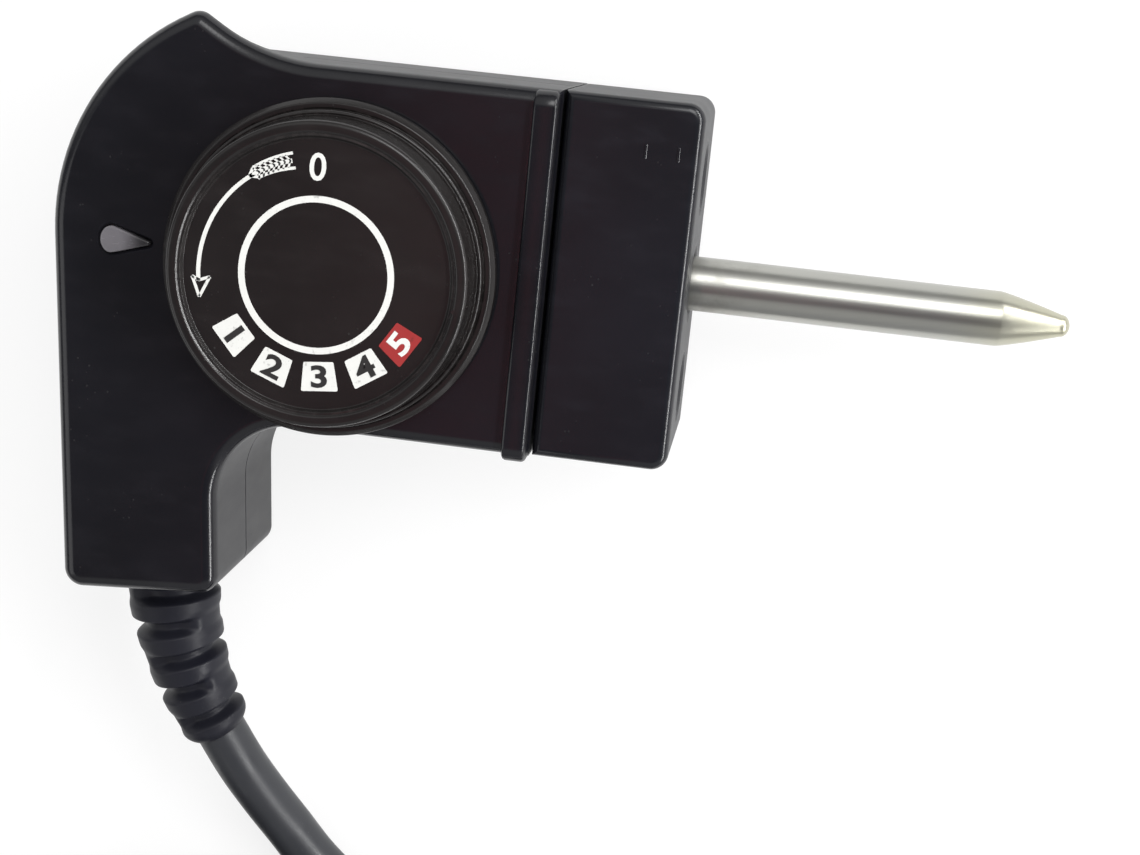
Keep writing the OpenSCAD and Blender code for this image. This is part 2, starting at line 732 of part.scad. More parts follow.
// Leaf stack, from the screw's head to the frame: washer, set leaf, block, contact leaf, block
module stack_block(x, t) {
    difference() {
        translate([x, -stack_low, split_z - stack_half_h]) cube([t, stack_low - stack_in,
            2 * stack_half_h]);
        along_x(x - over, -stack_y) cylinder(r = stack_screw_r + snug, h = t + 2 * over);
    }
}
module leaf_insulators() color(ceramic) {
    stack_block(leaf_x - washer_t, washer_t);
    stack_block(leaf_x + leaf_t, leaf_gap);
    stack_block(contact_x + leaf_t, frame_x - contact_x - leaf_t);
}
module terminal(x, side) color(brass) {
    difference() {
        union() {
            translate([x, -stack_low, split_z - leaf_half_h])
                cube([leaf_t, stack_low - hinge_y - leaf_root_gap, 2 * leaf_half_h]);
            translate([x, -tag_out, split_z + (side > 0 ? leaf_half_h : -leaf_half_h - tag_len)])
                cube([leaf_t, tag_out - tag_in, tag_len]);
        }
        along_x(x - over, -stack_y) cylinder(r = stack_screw_r + snug, h = leaf_t + 2 * over);
    }
}
module set_terminal() terminal(leaf_x, -1);
module contact_terminal() terminal(contact_x, 1);
module stack_screw() color(zinc) {
    along_x(leaf_x - washer_t - stack_head_t, -stack_y) cylinder(r = stack_head_r, h = stack_head_t);
    along_x(leaf_x - washer_t, -stack_y) cylinder(r = stack_screw_r,
        h = frame_x + frame_t - leaf_x + washer_t);
}
module leaf(x) color(brass) {
    translate([x, -hinge_y + leaf_root_gap, split_z - leaf_half_h])
        cube([leaf_t, hinge_y - leaf_root_gap + leaf_up, 2 * leaf_half_h]);
}
module set_leaf() leaf(leaf_x);
module contact_leaf() leaf(contact_x);
module set_contact() color(silver) {
    along_x(leaf_x + leaf_t, contact_y) cylinder(r = contact_r, h = contact_t);
}
module moving_contact() color(silver) {
    along_x(contact_x - contact_t, contact_y) cylinder(r = contact_r, h = contact_t);
}
module cam_button() color(ceramic) {
    along_x(cam_r + loose, 0) cylinder(r = button_r, h = leaf_x - cam_r - loose);
}

// The cam's radius rises evenly over the dial's travel
module control_cam() color(ceramic) {
    spiral = [for (a = [cam_from:arc_step / 2:cam_to]) (cam_r + cam_rise * a) * flat_heading(a)];
    rest = [for (a = [cam_to + arc_step:arc_step:cam_from + 360 - arc_step]) (cam_r + cam_rise
        * cam_from) * flat_heading(a)];
    difference() {
        union() {
            translate([0, 0, cam_low]) linear_extrude(cam_t) polygon(concat(spiral, rest));
            translate([0, 0, cam_low]) cylinder(r = cam_hub_r,
                h = frame_high - bush_flange_t - loose - cam_low);
        }
        translate([0, 0, cam_low - over]) cylinder(r = spindle_r + snug, h = frame_high);
    }
}

knob_base = body_t + knob_gap;
knob_top = body_t + knob_h;
disc_z = knob_top - disc_depth;
module spindle() color(zinc) {
    translate([0, 0, cam_low - spindle_head_t]) cylinder(r = spindle_head_r, h = spindle_head_t);
    difference() {
        translate([0, 0, cam_low]) cylinder(r = spindle_r, h = knob_top - spindle_top - cam_low);
        spindle_flat(0);
    }
}
module spindle_flat(gap) {
    translate([-spindle_r - over, spindle_flat_y + gap, body_t + bush_stand + hub_gap])
        cube([2 * (spindle_r + over), spindle_r, knob_h]);
}

module spindle_bush() color(brass) {
    difference() {
        union() {
            translate([0, 0, frame_high - bush_flange_t]) cylinder(r = bush_flange_r, h = bush_flange_t);
            translate([0, 0, frame_high]) cylinder(r = bush_r, h = body_t + bush_stand - frame_high);
        }
        translate([0, 0, frame_high - bush_flange_t - over]) cylinder(r = spindle_r + run_fit,
            h = body_t);
    }
}
module bush_nut() color(zinc) {
    difference() {
        translate([0, 0, body_t]) cylinder(r = nut_r, h = nut_t, $fn = 6);
        translate([0, 0, body_t - over]) cylinder(r = bush_r + snug, h = nut_t + 2 * over);
    }
}

// A turned shape: skirt, step, drafted wall, rim and sunk disc, hollow under the top, with a hub
module dial_knob() color(brownish) {
    hub_z = body_t + bush_stand + hub_gap;
    under = disc_z - knob_wall;
    inner_r = knob_r - knob_shell;
    low_r = knob_r + knob_draft;
    difference() {
        translate([0, 0, 0]) rotate_extrude($fn = 96) polygon([
            [inner_r, knob_base], [skirt_r, knob_base], [skirt_r, knob_base + skirt_h],
            [skirt_r - skirt_bevel, knob_base + skirt_h + skirt_bevel],
            [step_r, knob_base + skirt_h + skirt_bevel],
            [step_r, knob_base + skirt_h + skirt_bevel + step_h - step_bevel],
            [step_r - step_bevel, knob_base + skirt_h + skirt_bevel + step_h],
            [low_r, knob_base + skirt_h + skirt_bevel + step_h], [knob_r, knob_top - rim_round],
            [knob_r - rim_round, knob_top], [disc_r + rim_slope, knob_top], [disc_r, disc_z], [0, disc_z],
            [0, under], [hub_r, under], [inner_r, under]]);
    }
    difference() {
        translate([0, 0, hub_z]) cylinder(r = hub_r, h = under - hub_z);
        difference() {
            translate([0, 0, hub_z - over]) cylinder(r = spindle_r + snug, h = under - hub_z + over);
            spindle_flat(snug);
        }
    }
}

// A flat piece of a ring between two radii and two angles
module sector(r0, r1, from, to, t) {
    steps = ceil((to - from) / (arc_step / 2));
    linear_extrude(t) polygon(concat(
        [for (k = [0:steps]) r1 * flat_heading(from + (to - from) * k / steps)],
        [for (k = [steps:-1:0]) r0 * flat_heading(from + (to - from) * k / steps)]));
}
module dial_print() {
    translate([0, 0, disc_z]) {
        color(white) difference() {
            cylinder(r = ring_r + ring_w / 2, h = print_t);
            translate([0, 0, -over]) cylinder(r = ring_r - ring_w / 2, h = print_t + 2 * over);
        }
        for (i = [0:field_count - 1]) color(i == field_count - 1 ? red : white)
            sector(field_r - field_h / 2, field_r + field_h / 2,
                field_first + i * field_step - field_half_angle,
                field_first + i * field_step + field_half_angle, print_t);
        color(white) {
            sector(arrow_r - arrow_w / 2, arrow_r + arrow_w / 2, arrow_from_angle, arrow_to_angle,
                print_t);
            sector(arrow_r - arrow_tail_w, arrow_r + arrow_w / 2, arrow_from_angle,
                arrow_from_angle + arrow_tail_angle, print_t);
            linear_extrude(print_t) polygon([(arrow_r + arrow_head_w / 2) * flat_heading(arrow_to_angle),
                arrow_r * flat_heading(arrow_to_angle + arrow_head_angle),
                    (arrow_r - arrow_head_w / 2) * flat_heading(arrow_to_angle)]);
        }
    }
}

module pointer_lens() color(smoke) {
    translate([0, 0, roof_z]) linear_extrude(wall + lens_proud) polygon(lens_outline);
    translate([0, 0, roof_z - lens_flange_t]) linear_extrude(lens_flange_t) polygon(inset(lens_outline,
        -lens_flange));
}
module neon_lamp() color(smoke) {
    translate([-lamp_x, -lamp_half, lamp_z]) rotate([-90, 0, 0]) {
        cylinder(r = lamp_r, h = 2 * lamp_half);
        translate([0, 0, 2 * lamp_half]) cylinder(r = lamp_end_r, h = lamp_end_len);
        translate([0, 0, -lamp_end_len]) cylinder(r = lamp_end_r, h = lamp_end_len);
    }
}
module lamp_resistor() color(red) {
    translate([-lamp_x, -resistor_from - resistor_len, lamp_z]) rotate([-90, 0, 0]) {
        cylinder(r = resistor_r, h = resistor_len);
        cylinder(r = thin_lead_r, h = resistor_len + resistor_from - lamp_half - lamp_end_len);
    }
}
wire_sides = 6;
module wire(points, r, tone) color(tone) tube(points, r, wire_sides, [0.36, 0.48, 0.8]);
wire_r = 1.1;
// Three wires leave the sheath side by side; each one's first bend follows the sheath
core_gap = 1.9;
core_mid = -0.2;
core_step = 2.5;
core_root = 0.05;
core_low = 13.2;
core_high = 16;
function core_start(u, z) = [for (v = [core_root, core_step]) concat(grip_at(u, sheath_from - v), z)];
function follow(points) = [for (i = [0:len(points) - 1]) points[i] + (i == 0 ? (sheath_from - sheath_rest)
    * [lean_down.x, lean_down.y, 0] : [0, 0, 0])];
module line_wire() wire(concat(core_start(core_gap, core_low), follow(line_points)), wire_r,
    "saddlebrown");
module neutral_wire() wire(concat(core_start(core_mid, core_high), follow(neutral_points)), wire_r,
    "royalblue");
module earth_wire() wire(concat(core_start(-core_gap, core_low), follow(earth_points)), wire_r,
    "yellowgreen");
module load_wire() wire(load_points, wire_r, "saddlebrown");
module lamp_leads() {
    wire(lamp_line_points, thin_lead_r, silver);
    wire(lamp_neutral_points, thin_lead_r, silver);
}

module cord_clamp() color(ceramic) {
    difference() {
        translate([grip_at(0, clamp_mid).x, grip_at(0, clamp_mid).y, clamp_z]) rotate([0, 0, grip_lean])
            translate([-clamp_half_w, -clamp_len / 2, 0]) cube([2 * clamp_half_w, clamp_len, clamp_t]);
        for (u = [-1, 1]) translate([grip_at(u * clamp_boss_u, clamp_mid).x, grip_at(u * clamp_boss_u,
            clamp_mid).y,
            clamp_z - over]) cylinder(r = clamp_screw_r + run_fit, h = clamp_t + 2 * over);
    }
}
module clamp_screws() color(zinc) {
    for (u = [-1, 1]) translate([grip_at(u * clamp_boss_u, clamp_mid).x, grip_at(u * clamp_boss_u,
        clamp_mid).y,
        clamp_z + clamp_t]) {
        cylinder(r = clamp_head_r, h = clamp_head_t);
        translate([0, 0, -clamp_t - clamp_bite]) cylinder(r = clamp_screw_r, h = clamp_t + clamp_bite);
    }
}
module housing_screws() color(zinc) {
    for (s = screw_spots) translate([s.x, s.y, screw_sink]) {
        cylinder(r = screw_head_r, h = screw_head_h);
        cylinder(r = screw_r, h = split_z + screw_bite - screw_sink);
    }
}

// The bend protector: a flange and a neck held by the grip's end wall, then ribs along a gentle bend
module sheath_end() color(dark) {
    in_grip(sheath_from) cylinder(r = cord_d / 2, h = relief_flange_from - sheath_from - snug);
}
relief_flange_from = grip_len - wall - run_fit - relief_flange_t;
relief_start = concat(grip_at(0, grip_len + loose), split_z);
relief_out = [lean_down.x, lean_down.y, 0];
relief_aside = [lean_side.x * cos(relief_roll), lean_side.y * cos(relief_roll), -sin(relief_roll)];
relief_curve = relief_len / (relief_bend * PI / 180);
function relief_at(s) = relief_start + relief_curve
    * (sin(relief_bend * s) * relief_out + (1 - cos(relief_bend * s)) * relief_aside);
function relief_dir(s) = cos(relief_bend * s) * relief_out + sin(relief_bend * s) * relief_aside;
function relief_ring(s, share) =
    circle_at(relief_at(s), relief_dir(s),
        (relief_core_r + (relief_end_core_r - relief_core_r) * s) * (1 - share)
        + (relief_r + (relief_end_r - relief_r) * s) * share, relief_sides, [0, 0, 1]);
module strain_relief() color(dark) {
    rib = 1 / relief_ribs;
    in_grip(relief_flange_from) cylinder(r = relief_flange_r, h = relief_flange_t);
    in_grip(relief_flange_from) cylinder(r = relief_neck_r,
        h = relief_flange_t + wall + run_fit + loose + over);
    loft([for (i = [0:relief_ribs - 1]) each [relief_ring(i * rib, 1), relief_ring((i + rib_share) * rib,
        1),
        relief_ring((i + rib_share) * rib, 0), relief_ring((i + 1) * rib,
            i == relief_ribs - 1 ? 0 : 0)]]);
}

// Lead: straight out of the bend protector, along the table, into the coil and out to the plug
coil_z = cord_d / 2 + tie_under;
turn_pitch = cord_d + turn_gap;
coil_y = -coil_top - coil_r;
coil_turns = 2 * layer_turns + 0.5;
function coil_radius(t) = coil_r - turn_pitch * min(t, coil_turns - t);
function coil_height(t) = coil_z + turn_pitch * (t < layer_turns ? 0
    : t > layer_turns + 0.5 ? 1 : (1 - cos(360 * (t - layer_turns))) / 2);
function coil_at(t) = [coil_x + coil_radius(t) * sin(360 * t), coil_y + coil_radius(t) * cos(360 * t),
    coil_height(t)];
coil_route = [for (i = [0:coil_turns * rings_per_turn]) coil_at(i / rings_per_turn)];
far = floor(rings_per_turn / 2);
least_gap = min([for (i = [0:len(coil_route) - 1], j = [i + far:1:len(coil_route) - 1])
    norm(coil_route[i] - coil_route[j])]) - cord_d;
echo(str("Least gap of the coil to itself: ", least_gap, " mm"));

// Both ends of the coil run straight for one diameter
coil_in = [coil_x, coil_y + coil_r, coil_z];
coil_out = [coil_x, coil_y - coil_r, coil_z + turn_pitch];
lead_from = relief_at(1);
lead_route = concat([lead_from, lead_from + cord_d * relief_dir(1)], lead_points,
    [coil_in - [2 * cord_d, 0, 0], coil_in - [cord_d, 0, 0]]);
plug_entry = [plug_x, plug_y - plug_r + plug_relief_sink - plug_relief_len, plug_cord_z];
tail_route = concat([coil_out - [cord_d, 0, 0], coil_out - [2 * cord_d, 0, 0]], tail_points,
    [plug_entry - [0, cord_d, 0], plug_entry]);
module cord_lead() color(dark) tube(lead_route, cord_d / 2, cord_sides, [0, 0, 1]);
module cord_tail() color(dark) tube(tail_route, cord_d / 2, cord_sides, [0, 0, 1]);
module cord_coil() color(dark)
    tube(concat([coil_in - [cord_d, 0, 0]], coil_route, [coil_out - [cord_d, 0, 0]]),
        cord_d / 2, coil_sides, [0, 0, 1]);

// A strap round both layers of the coil
module coil_tie() color(black) {
    in_r = coil_r - layer_turns * turn_pitch - cord_d / 2 - turn_pitch * tie_angle / 360 - tie_gap;
    out_r = coil_r + cord_d / 2 + tie_gap;
    top = coil_z + turn_pitch + cord_d / 2 + tie_gap;
    translate([coil_x, coil_y, 0]) rotate([0, 0, 90 - tie_angle]) difference() {
        translate([in_r - tie_t, -tie_w / 2, 0]) cube([out_r - in_r + 2 * tie_t, tie_w, top + tie_t]);
        translate([in_r, -tie_w / 2 - over, tie_t]) cube([out_r - in_r, tie_w + 2 * over, top - tie_t]);
    }
}

// Wall plug, lying on its back with the pins up; the lead enters at its side
module plug_body() color(black) {
    difference() {
        union() {
            translate([plug_x, plug_y, 0]) rotate_extrude() polygon([[0, 0], [plug_r - plug_edge, 0],
                [plug_r, plug_edge], [plug_r, plug_h - plug_face_in], [plug_r - plug_face_in, plug_h],
                    [0, plug_h]]);
            translate(plug_entry) rotate([-90, 0, 0]) rotate_extrude() polygon(plug_relief_profile);
        }
        for (side = [-1, 1]) translate([side > 0 ? plug_x + plug_flat : plug_x - plug_flat - plug_r,
            plug_y - clip_w / 2 - slip, clip_from]) cube([plug_r, clip_w + 2 * slip, plug_h]);
        for (side = [-1, 1]) translate([plug_x, plug_y + side * plug_pin_pitch / 2,
            plug_h - plug_pin_sink])
            cylinder(r = plug_pin_root_r + snug, h = plug_pin_sink + over);
        translate([plug_x + earth_hole_in, plug_y, plug_h - earth_hole_deep])
            cylinder(r = earth_hole_r, h = earth_hole_deep + over);
    }
}
plug_rib = plug_relief_len / 6;
plug_relief_profile = concat([[0, 0]],
    [for (i = [0:4]) each let (r = plug_relief_end_r + (plug_relief_r - plug_relief_end_r) * i / 4)
        [[r - (i == 0 ? 0 : relief_groove), i * plug_rib], [r, i * plug_rib + plug_rib / 4],
        [r, (i + 1) * plug_rib - plug_rib / 4], [r - relief_groove, (i + 1) * plug_rib]]],
    [[plug_relief_r, plug_relief_len - plug_rib], [plug_relief_r, plug_relief_len + plug_relief_sink],
        [0, plug_relief_len + plug_relief_sink]]);
module plug_pins() color(zinc) {
    for (side = [-1, 1]) translate([plug_x, plug_y + side * plug_pin_pitch / 2, plug_h - plug_pin_sink])
        rotate_extrude() polygon([[0, 0], [plug_pin_root_r, 0], [plug_pin_root_r, plug_pin_sink],
            [plug_pin_d / 2, plug_pin_sink], [plug_pin_d / 2,
                plug_pin_sink + plug_pin_len - plug_pin_round],
            [plug_pin_d / 2 - plug_pin_round, plug_pin_sink + plug_pin_len], [0,
                plug_pin_sink + plug_pin_len]]);
}
module plug_earth_clips() color(zinc) {
    for (side = [-1, 1]) translate([plug_x + side * (plug_flat + clip_t / 2) - clip_t / 2,
        plug_y - clip_w / 2, clip_from])
        cube([clip_t, clip_w, plug_h - plug_face_in - clip_from]);
}

front_cover();
back_cover();
connector_nose();
probe_sheath();
probe_ferrule();
push_rod();
rod_button();
thermostat_frame();
leaf_insulators();
set_terminal();
contact_terminal();
stack_screw();
set_leaf();
set_contact();
cam_button();
contact_leaf();
moving_contact();
control_cam();
spindle();
spindle_bush();
bush_nut();
dial_knob();
dial_print();
pointer_lens();
neon_lamp();
lamp_resistor();
lamp_leads();
line_socket();
neutral_socket();
line_wire();
neutral_wire();
earth_wire();
load_wire();
cord_clamp();
clamp_screws();
housing_screws();
sheath_end();
strain_relief();
cord_lead();
cord_coil();
cord_tail();
coil_tie();
plug_body();
plug_pins();
plug_earth_clips();
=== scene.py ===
"""Looks of a griddle thermostat cord: a plug-in probe thermostat with a dial on a mains lead.

It is laid out as an add-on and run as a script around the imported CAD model. Sizes are in metres,
in the CAD frame: +X along the probe, +Y to the thumb ridge, +Z out of the dial.
"""
import math

import bmesh
import bpy
from mathutils import Matrix, Vector


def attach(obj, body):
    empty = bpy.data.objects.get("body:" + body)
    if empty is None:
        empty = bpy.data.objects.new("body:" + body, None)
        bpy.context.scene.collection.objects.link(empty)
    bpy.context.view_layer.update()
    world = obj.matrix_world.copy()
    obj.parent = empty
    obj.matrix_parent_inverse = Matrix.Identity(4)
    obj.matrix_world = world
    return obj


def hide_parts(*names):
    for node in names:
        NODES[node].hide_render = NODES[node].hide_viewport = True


bl_info = {
    "name": "Griddle Thermostat Cord",
    "version": (1, 0, 0),
    "blender": (4, 5, 0),
    "location": "View3D > Sidebar > Thermostat",
    "description": "Builds a plug-in griddle thermostat with its lead around the packed CAD model",
    "category": "Object",
}

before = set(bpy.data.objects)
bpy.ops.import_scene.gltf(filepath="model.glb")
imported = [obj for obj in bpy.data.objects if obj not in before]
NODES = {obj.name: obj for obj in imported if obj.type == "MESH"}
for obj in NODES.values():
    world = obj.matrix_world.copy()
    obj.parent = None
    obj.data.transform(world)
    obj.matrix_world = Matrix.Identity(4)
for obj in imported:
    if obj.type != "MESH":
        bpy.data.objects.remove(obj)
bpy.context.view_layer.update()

MM = 0.001
TAU = 2 * math.pi
FINE = math.radians(3)      # largest turn between two points of an outline
COARSE = math.radians(10)   # the same for a turned profile
HAIR = 0.02 * MM            # gap between faces that meet, and how far a print reaches down
OVER = 1 * MM               # how far a cutter passes the face that it opens


# ---------------------------------------------------------------- sizes and colours

def length(about, value):
    """A length property, given in millimetres"""
    return bpy.props.FloatProperty(description=about, default=value * MM, min=0, unit="LENGTH",
                                   subtype="DISTANCE", precision=5)


def tone(about, value):
    """A colour property, linear red, green and blue"""
    return bpy.props.FloatVectorProperty(description=about, default=value, size=3, min=0, max=1,
                                         subtype="COLOR")


def share(about, value):
    """A property from 0 to 1"""
    return bpy.props.FloatProperty(description=about, default=value, min=0, max=1,
                                   subtype="FACTOR")


class HousingSizes(bpy.types.PropertyGroup):
    """Sizes of the two covers and the nose"""
    thickness: length("Thickness of the closed housing", 28.5)
    parting: length("Height at which the two covers meet", 14)
    wall: length("Wall of both covers", 2)
    above: length("Distance from the dial's axis to the top edge", 24.6)
    below: length("Distance from the dial's axis to the underside", 21)
    nose_start: length("Distance from the dial's axis to the nose", 26.6)
    front_edge: length("Rounding of the front edges", 1.8)
    back_edge: length("Rounding of the back edges", 1.2)
    band_width: length("Width of the raised band beside the nose", 3)
    band_rise: length("How far the band stands proud", 0.8)
    grip_length: length("Length of the grip below the dial's axis", 45.3)
    grip_width: length("Width of the grip", 20.6)
    nose_length: length("Length of the nose in front of the covers", 17.4)
    nose_corner: length("Radius of the nose's outer corners", 2.2)
    nose_edge: length("Rounding of the nose's long edges", 1.2)
    groove: length("Width of the chamfer where the covers meet", 0.18)


class ProbeSizes(bpy.types.PropertyGroup):
    """Sizes of the probe"""
    radius: length("Radius of the probe", 3.5)
    reach: length("Length of the probe in front of the nose", 48)
    tip: length("Length of the tapered tip", 9)
    blunt: length("Radius of the tip's blunt end", 1.4)
    offset: length("Offset of the probe from the dial's axis", 1.3)


class DialSizes(bpy.types.PropertyGroup):
    """Sizes of the dial and its print"""
    skirt: length("Radius of the dial's skirt", 20.9)
    top: length("Radius of the dial's top", 18.5)
    height: length("Height of the dial above the housing", 8.3)
    disc: length("Radius of the sunk disc", 16.4)
    sunk: length("Depth of the sunk disc", 0.7)
    ring: length("Middle radius of the printed ring", 9.17)
    line: length("Width of the printed ring", 0.8)
    ink: length("How far the print stands proud", 0.06)


class LeadSizes(bpy.types.PropertyGroup):
    """Sizes of the lead, its bend protector and its plug"""
    diameter: length("Diameter of the lead", 7)
    protector: length("Length of the bend protector", 25.2)
    protector_start: length("Radius of the bend protector at the housing", 6.6)
    protector_end: length("Radius of the bend protector at its end", 4.7)
    grooves: bpy.props.IntProperty(description="Number of grooves in the bend protector",
                                   default=5, min=2, max=9)
    plug: length("Radius of the wall plug's body", 18.6)
    plug_height: length("Height of the wall plug's body", 24)
    pin: length("Diameter of each plug pin", 4.8)
    pin_pitch: length("Distance between the plug pins", 19)
    pin_length: length("Free length of each plug pin", 19)


class FinishSettings(bpy.types.PropertyGroup):
    """Colours and gloss of the finishes"""
    housing: tone("Black of the covers", (0.0058, 0.0058, 0.008))
    nose: tone("Black of the nose", (0.0075, 0.0078, 0.0108))
    dial: tone("Brownish black of the dial", (0.0105, 0.0088, 0.0086))
    ink: tone("White of the print", (0.82, 0.82, 0.79))
    red: tone("Red of the last field", (0.36, 0.022, 0.022))
    lens: tone("Grey of the pointer lens", (0.3, 0.285, 0.31))
    steel: tone("Colour of the probe", (0.5, 0.5, 0.465))
    rubber: tone("Black of the lead", (0.021, 0.0225, 0.027))
    protector: tone("Blue black of the bend protector", (0.0105, 0.0108, 0.0165))
    housing_roughness: share("Roughness of the covers", 0.2)
    probe_roughness: share("Roughness of the probe", 0.3)


class ThermostatSettings(bpy.types.PropertyGroup):
    """All that a user may change"""
    housing: bpy.props.PointerProperty(type=HousingSizes)
    probe: bpy.props.PointerProperty(type=ProbeSizes)
    dial: bpy.props.PointerProperty(type=DialSizes)
    lead: bpy.props.PointerProperty(type=LeadSizes)
    finish: bpy.props.PointerProperty(type=FinishSettings)


# ---------------------------------------------------------------- node graphs

def maths(operation, swapped=False):
    """A method that adds one Math node; swapped puts the link behind the other value"""
    def method(link, *others):
        values = (*others, link) if swapped else (link, *others)
        return link.graph.add("ShaderNodeMath", dict(enumerate(values)), operation=operation)
    return method


class Link:
    """One output socket. Operators on it add Math nodes, so a pattern reads as a formula."""

    def __init__(self, graph, socket):
        self.graph, self.socket = graph, socket

    __add__ = __radd__ = maths("ADD")
    __mul__ = __rmul__ = maths("MULTIPLY")
    __sub__, __rsub__ = maths("SUBTRACT"), maths("SUBTRACT", swapped=True)
    __truediv__, __pow__, __mod__ = maths("DIVIDE"), maths("POWER"), maths("MODULO")
    sine, cosine, size, nearest = maths("SINE"), maths("COSINE"), maths("ABSOLUTE"), maths("ROUND")
    least, most = maths("MINIMUM"), maths("MAXIMUM")

    def rise(self, low, high):
        """0 below low, 1 above high, smooth between them"""
        return self.graph.add("ShaderNodeMapRange",
                              {"Value": self, "From Min": low, "From Max": high},
                              interpolation_type="SMOOTHSTEP")


class Graph:
    """A node tree that is filled in code"""

    def __init__(self, tree):
        self.tree = tree

    def add(self, kind, sockets=None, out=0, **settings):
        """One node: its settings first, then the values or links of its sockets"""
        node = self.tree.nodes.new(kind)
        for name, value in settings.items():
            setattr(node, name, value)
        for name, value in (sockets or {}).items():
            if isinstance(value, Link):
                self.tree.links.new(value.socket, node.inputs[name])
            else:
                node.inputs[name].default_value = value
        return Link(self, node.outputs[out])

    def end(self, kind, link, socket="Surface"):
        """The output node with the link that it takes"""
        self.tree.links.new(link.socket, self.tree.nodes.new(kind).inputs[socket])

    def mix(self, factor, *colours):
        """A colour between two colours or links"""
        first, second = (c if isinstance(c, Link) else (*c, 1) for c in colours)
        return self.add("ShaderNodeMix", {0: factor, 6: first, 7: second}, 2, data_type="RGBA")

    def rays(self, *names):
        """1 for the rays that are named"""
        path = self.tree.nodes.new("ShaderNodeLightPath")
        whole, *links = [Link(self, path.outputs[name]) for name in names]
        for link in links:
            whole = whole.most(link)
        return whole


class Finish(Graph):
    """A procedural material on a Principled shader"""

    def __init__(self, name):
        self.material = bpy.data.materials.new(name)
        self.material.use_nodes = True
        super().__init__(self.material.node_tree)
        self.tree.nodes.clear()
        self.place = self.add("ShaderNodeTexCoord", out="Object")

    def axis(self, letter):
        """One coordinate of the place on the piece, in metres"""
        return self.add("ShaderNodeSeparateXYZ", {"Vector": self.place}, letter)

    def noise(self, scale, detail=3, seed=0, stretch=None, roughness=0.55):
        """Noise from 0 to 1, with scale features a metre"""
        where = self.place
        if stretch:
            where = self.add("ShaderNodeMapping", {"Vector": where, "Scale": stretch})
        return self.add("ShaderNodeTexNoise", {"Vector": where, "W": seed, "Scale": scale,
                                               "Detail": detail, "Roughness": roughness},
                        noise_dimensions="4D")

    def cells(self, scale, seed=0):
        """Distance to the middle of the nearest cell"""
        shift = seed * 0.37, seed * 0.11, seed * 0.23
        shifted = self.add("ShaderNodeVectorMath", {0: self.place, 1: shift}, operation="ADD")
        return self.add("ShaderNodeTexVoronoi", {"Vector": shifted, "Scale": scale}, feature="F1")

    def specks(self, scale, seed, dot, patches, edge):
        """Dots where the cells' distance is in dot's range, inside the patches of a noise"""
        return self.cells(scale, seed).rise(*dot) * self.noise(*patches).rise(*edge)

    def worn_edges(self, radius):
        """1 on sharp outer edges, 0 on flat faces"""
        soft = self.add("ShaderNodeBevel", {"Radius": radius}, samples=4)
        true = self.add("ShaderNodeNewGeometry", out="Normal")
        same = self.add("ShaderNodeVectorMath", {0: soft, 1: true}, 1, operation="DOT_PRODUCT")
        return (1 - same).rise(0.03, 0.3)

    def bump(self, height, strength, distance, below=None):
        """A normal; below is another bump, which stays under it"""
        sockets = {"Height": height, "Strength": strength, "Distance": distance}
        if below:
            sockets["Normal"] = below
        return self.add("ShaderNodeBump", sockets)

    def done(self, **sockets):
        """The finished material, from the shader's sockets with _ for each space"""
        values = {name.replace("_", " "): (*value, 1) if isinstance(value, tuple) else value
                  for name, value in sockets.items()}
        self.end("ShaderNodeOutputMaterial", self.add("ShaderNodeBsdfPrincipled", values))
        return self.material


def scaled(colour, factor):
    """The colour lighter or darker, within what a socket takes"""
    return tuple(min(1, part * factor) for part in colour)


# ---------------------------------------------------------------- finishes

def moulded_plastic(name, colour, roughness, grain=0.00002, grain_scale=3400, wear=0.0,
                    matt_walls=0.0):
    """Moulded thermoset: spark-grained skin, flow clouds, fine rubs and dust, edges polished by
    hands, and duller upright walls"""
    f = Finish(name)
    cloud = f.noise(55, 3, 1)
    flow = f.noise(150, 4, 2, (1, 2.6, 1))
    grain_height = f.noise(grain_scale, 2, 3) * 0.7 + f.cells(grain_scale * 0.6, 1) * 0.5
    rubs = f.noise(420, 5, 4, (9, 1, 1), 0.7).rise(0.62, 0.78)
    dust = f.specks(900, 2, (0.16, 0.05), (140, 2, 6), (0.5, 0.68))
    base = f.mix(cloud.rise(0.3, 0.7), scaled(colour, 0.82), scaled(colour, 1.2))
    base = f.mix(flow.rise(0.48, 0.75) * 0.5, base, scaled(colour, 1.55))
    base = f.mix(dust * 0.12, base, (0.09, 0.085, 0.08))
    rough = flow * 0.12 + (roughness - 0.05) - rubs * 0.06 + dust * 0.25
    if wear:
        edge = f.worn_edges(0.8 * MM)
        chipped = edge * f.noise(700, 4, 7).rise(0.42, 0.62)
        base = f.mix(chipped * wear, base, scaled(colour, 4.5))
        rough = rough - edge * 0.13
    if matt_walls:
        normal = f.add("ShaderNodeNewGeometry", out="Normal")
        level = f.add("ShaderNodeSeparateXYZ", {"Vector": normal}, "Z").size()
        rough = rough + (1 - level.rise(0.05, 0.4)) * matt_walls
    normal = f.bump(grain_height, 0.22, grain)
    normal = f.bump(cloud, 0.2, 0.0001, normal)
    return f.done(Base_Color=base, Roughness=rough, Normal=normal, Specular_IOR_Level=0.5)


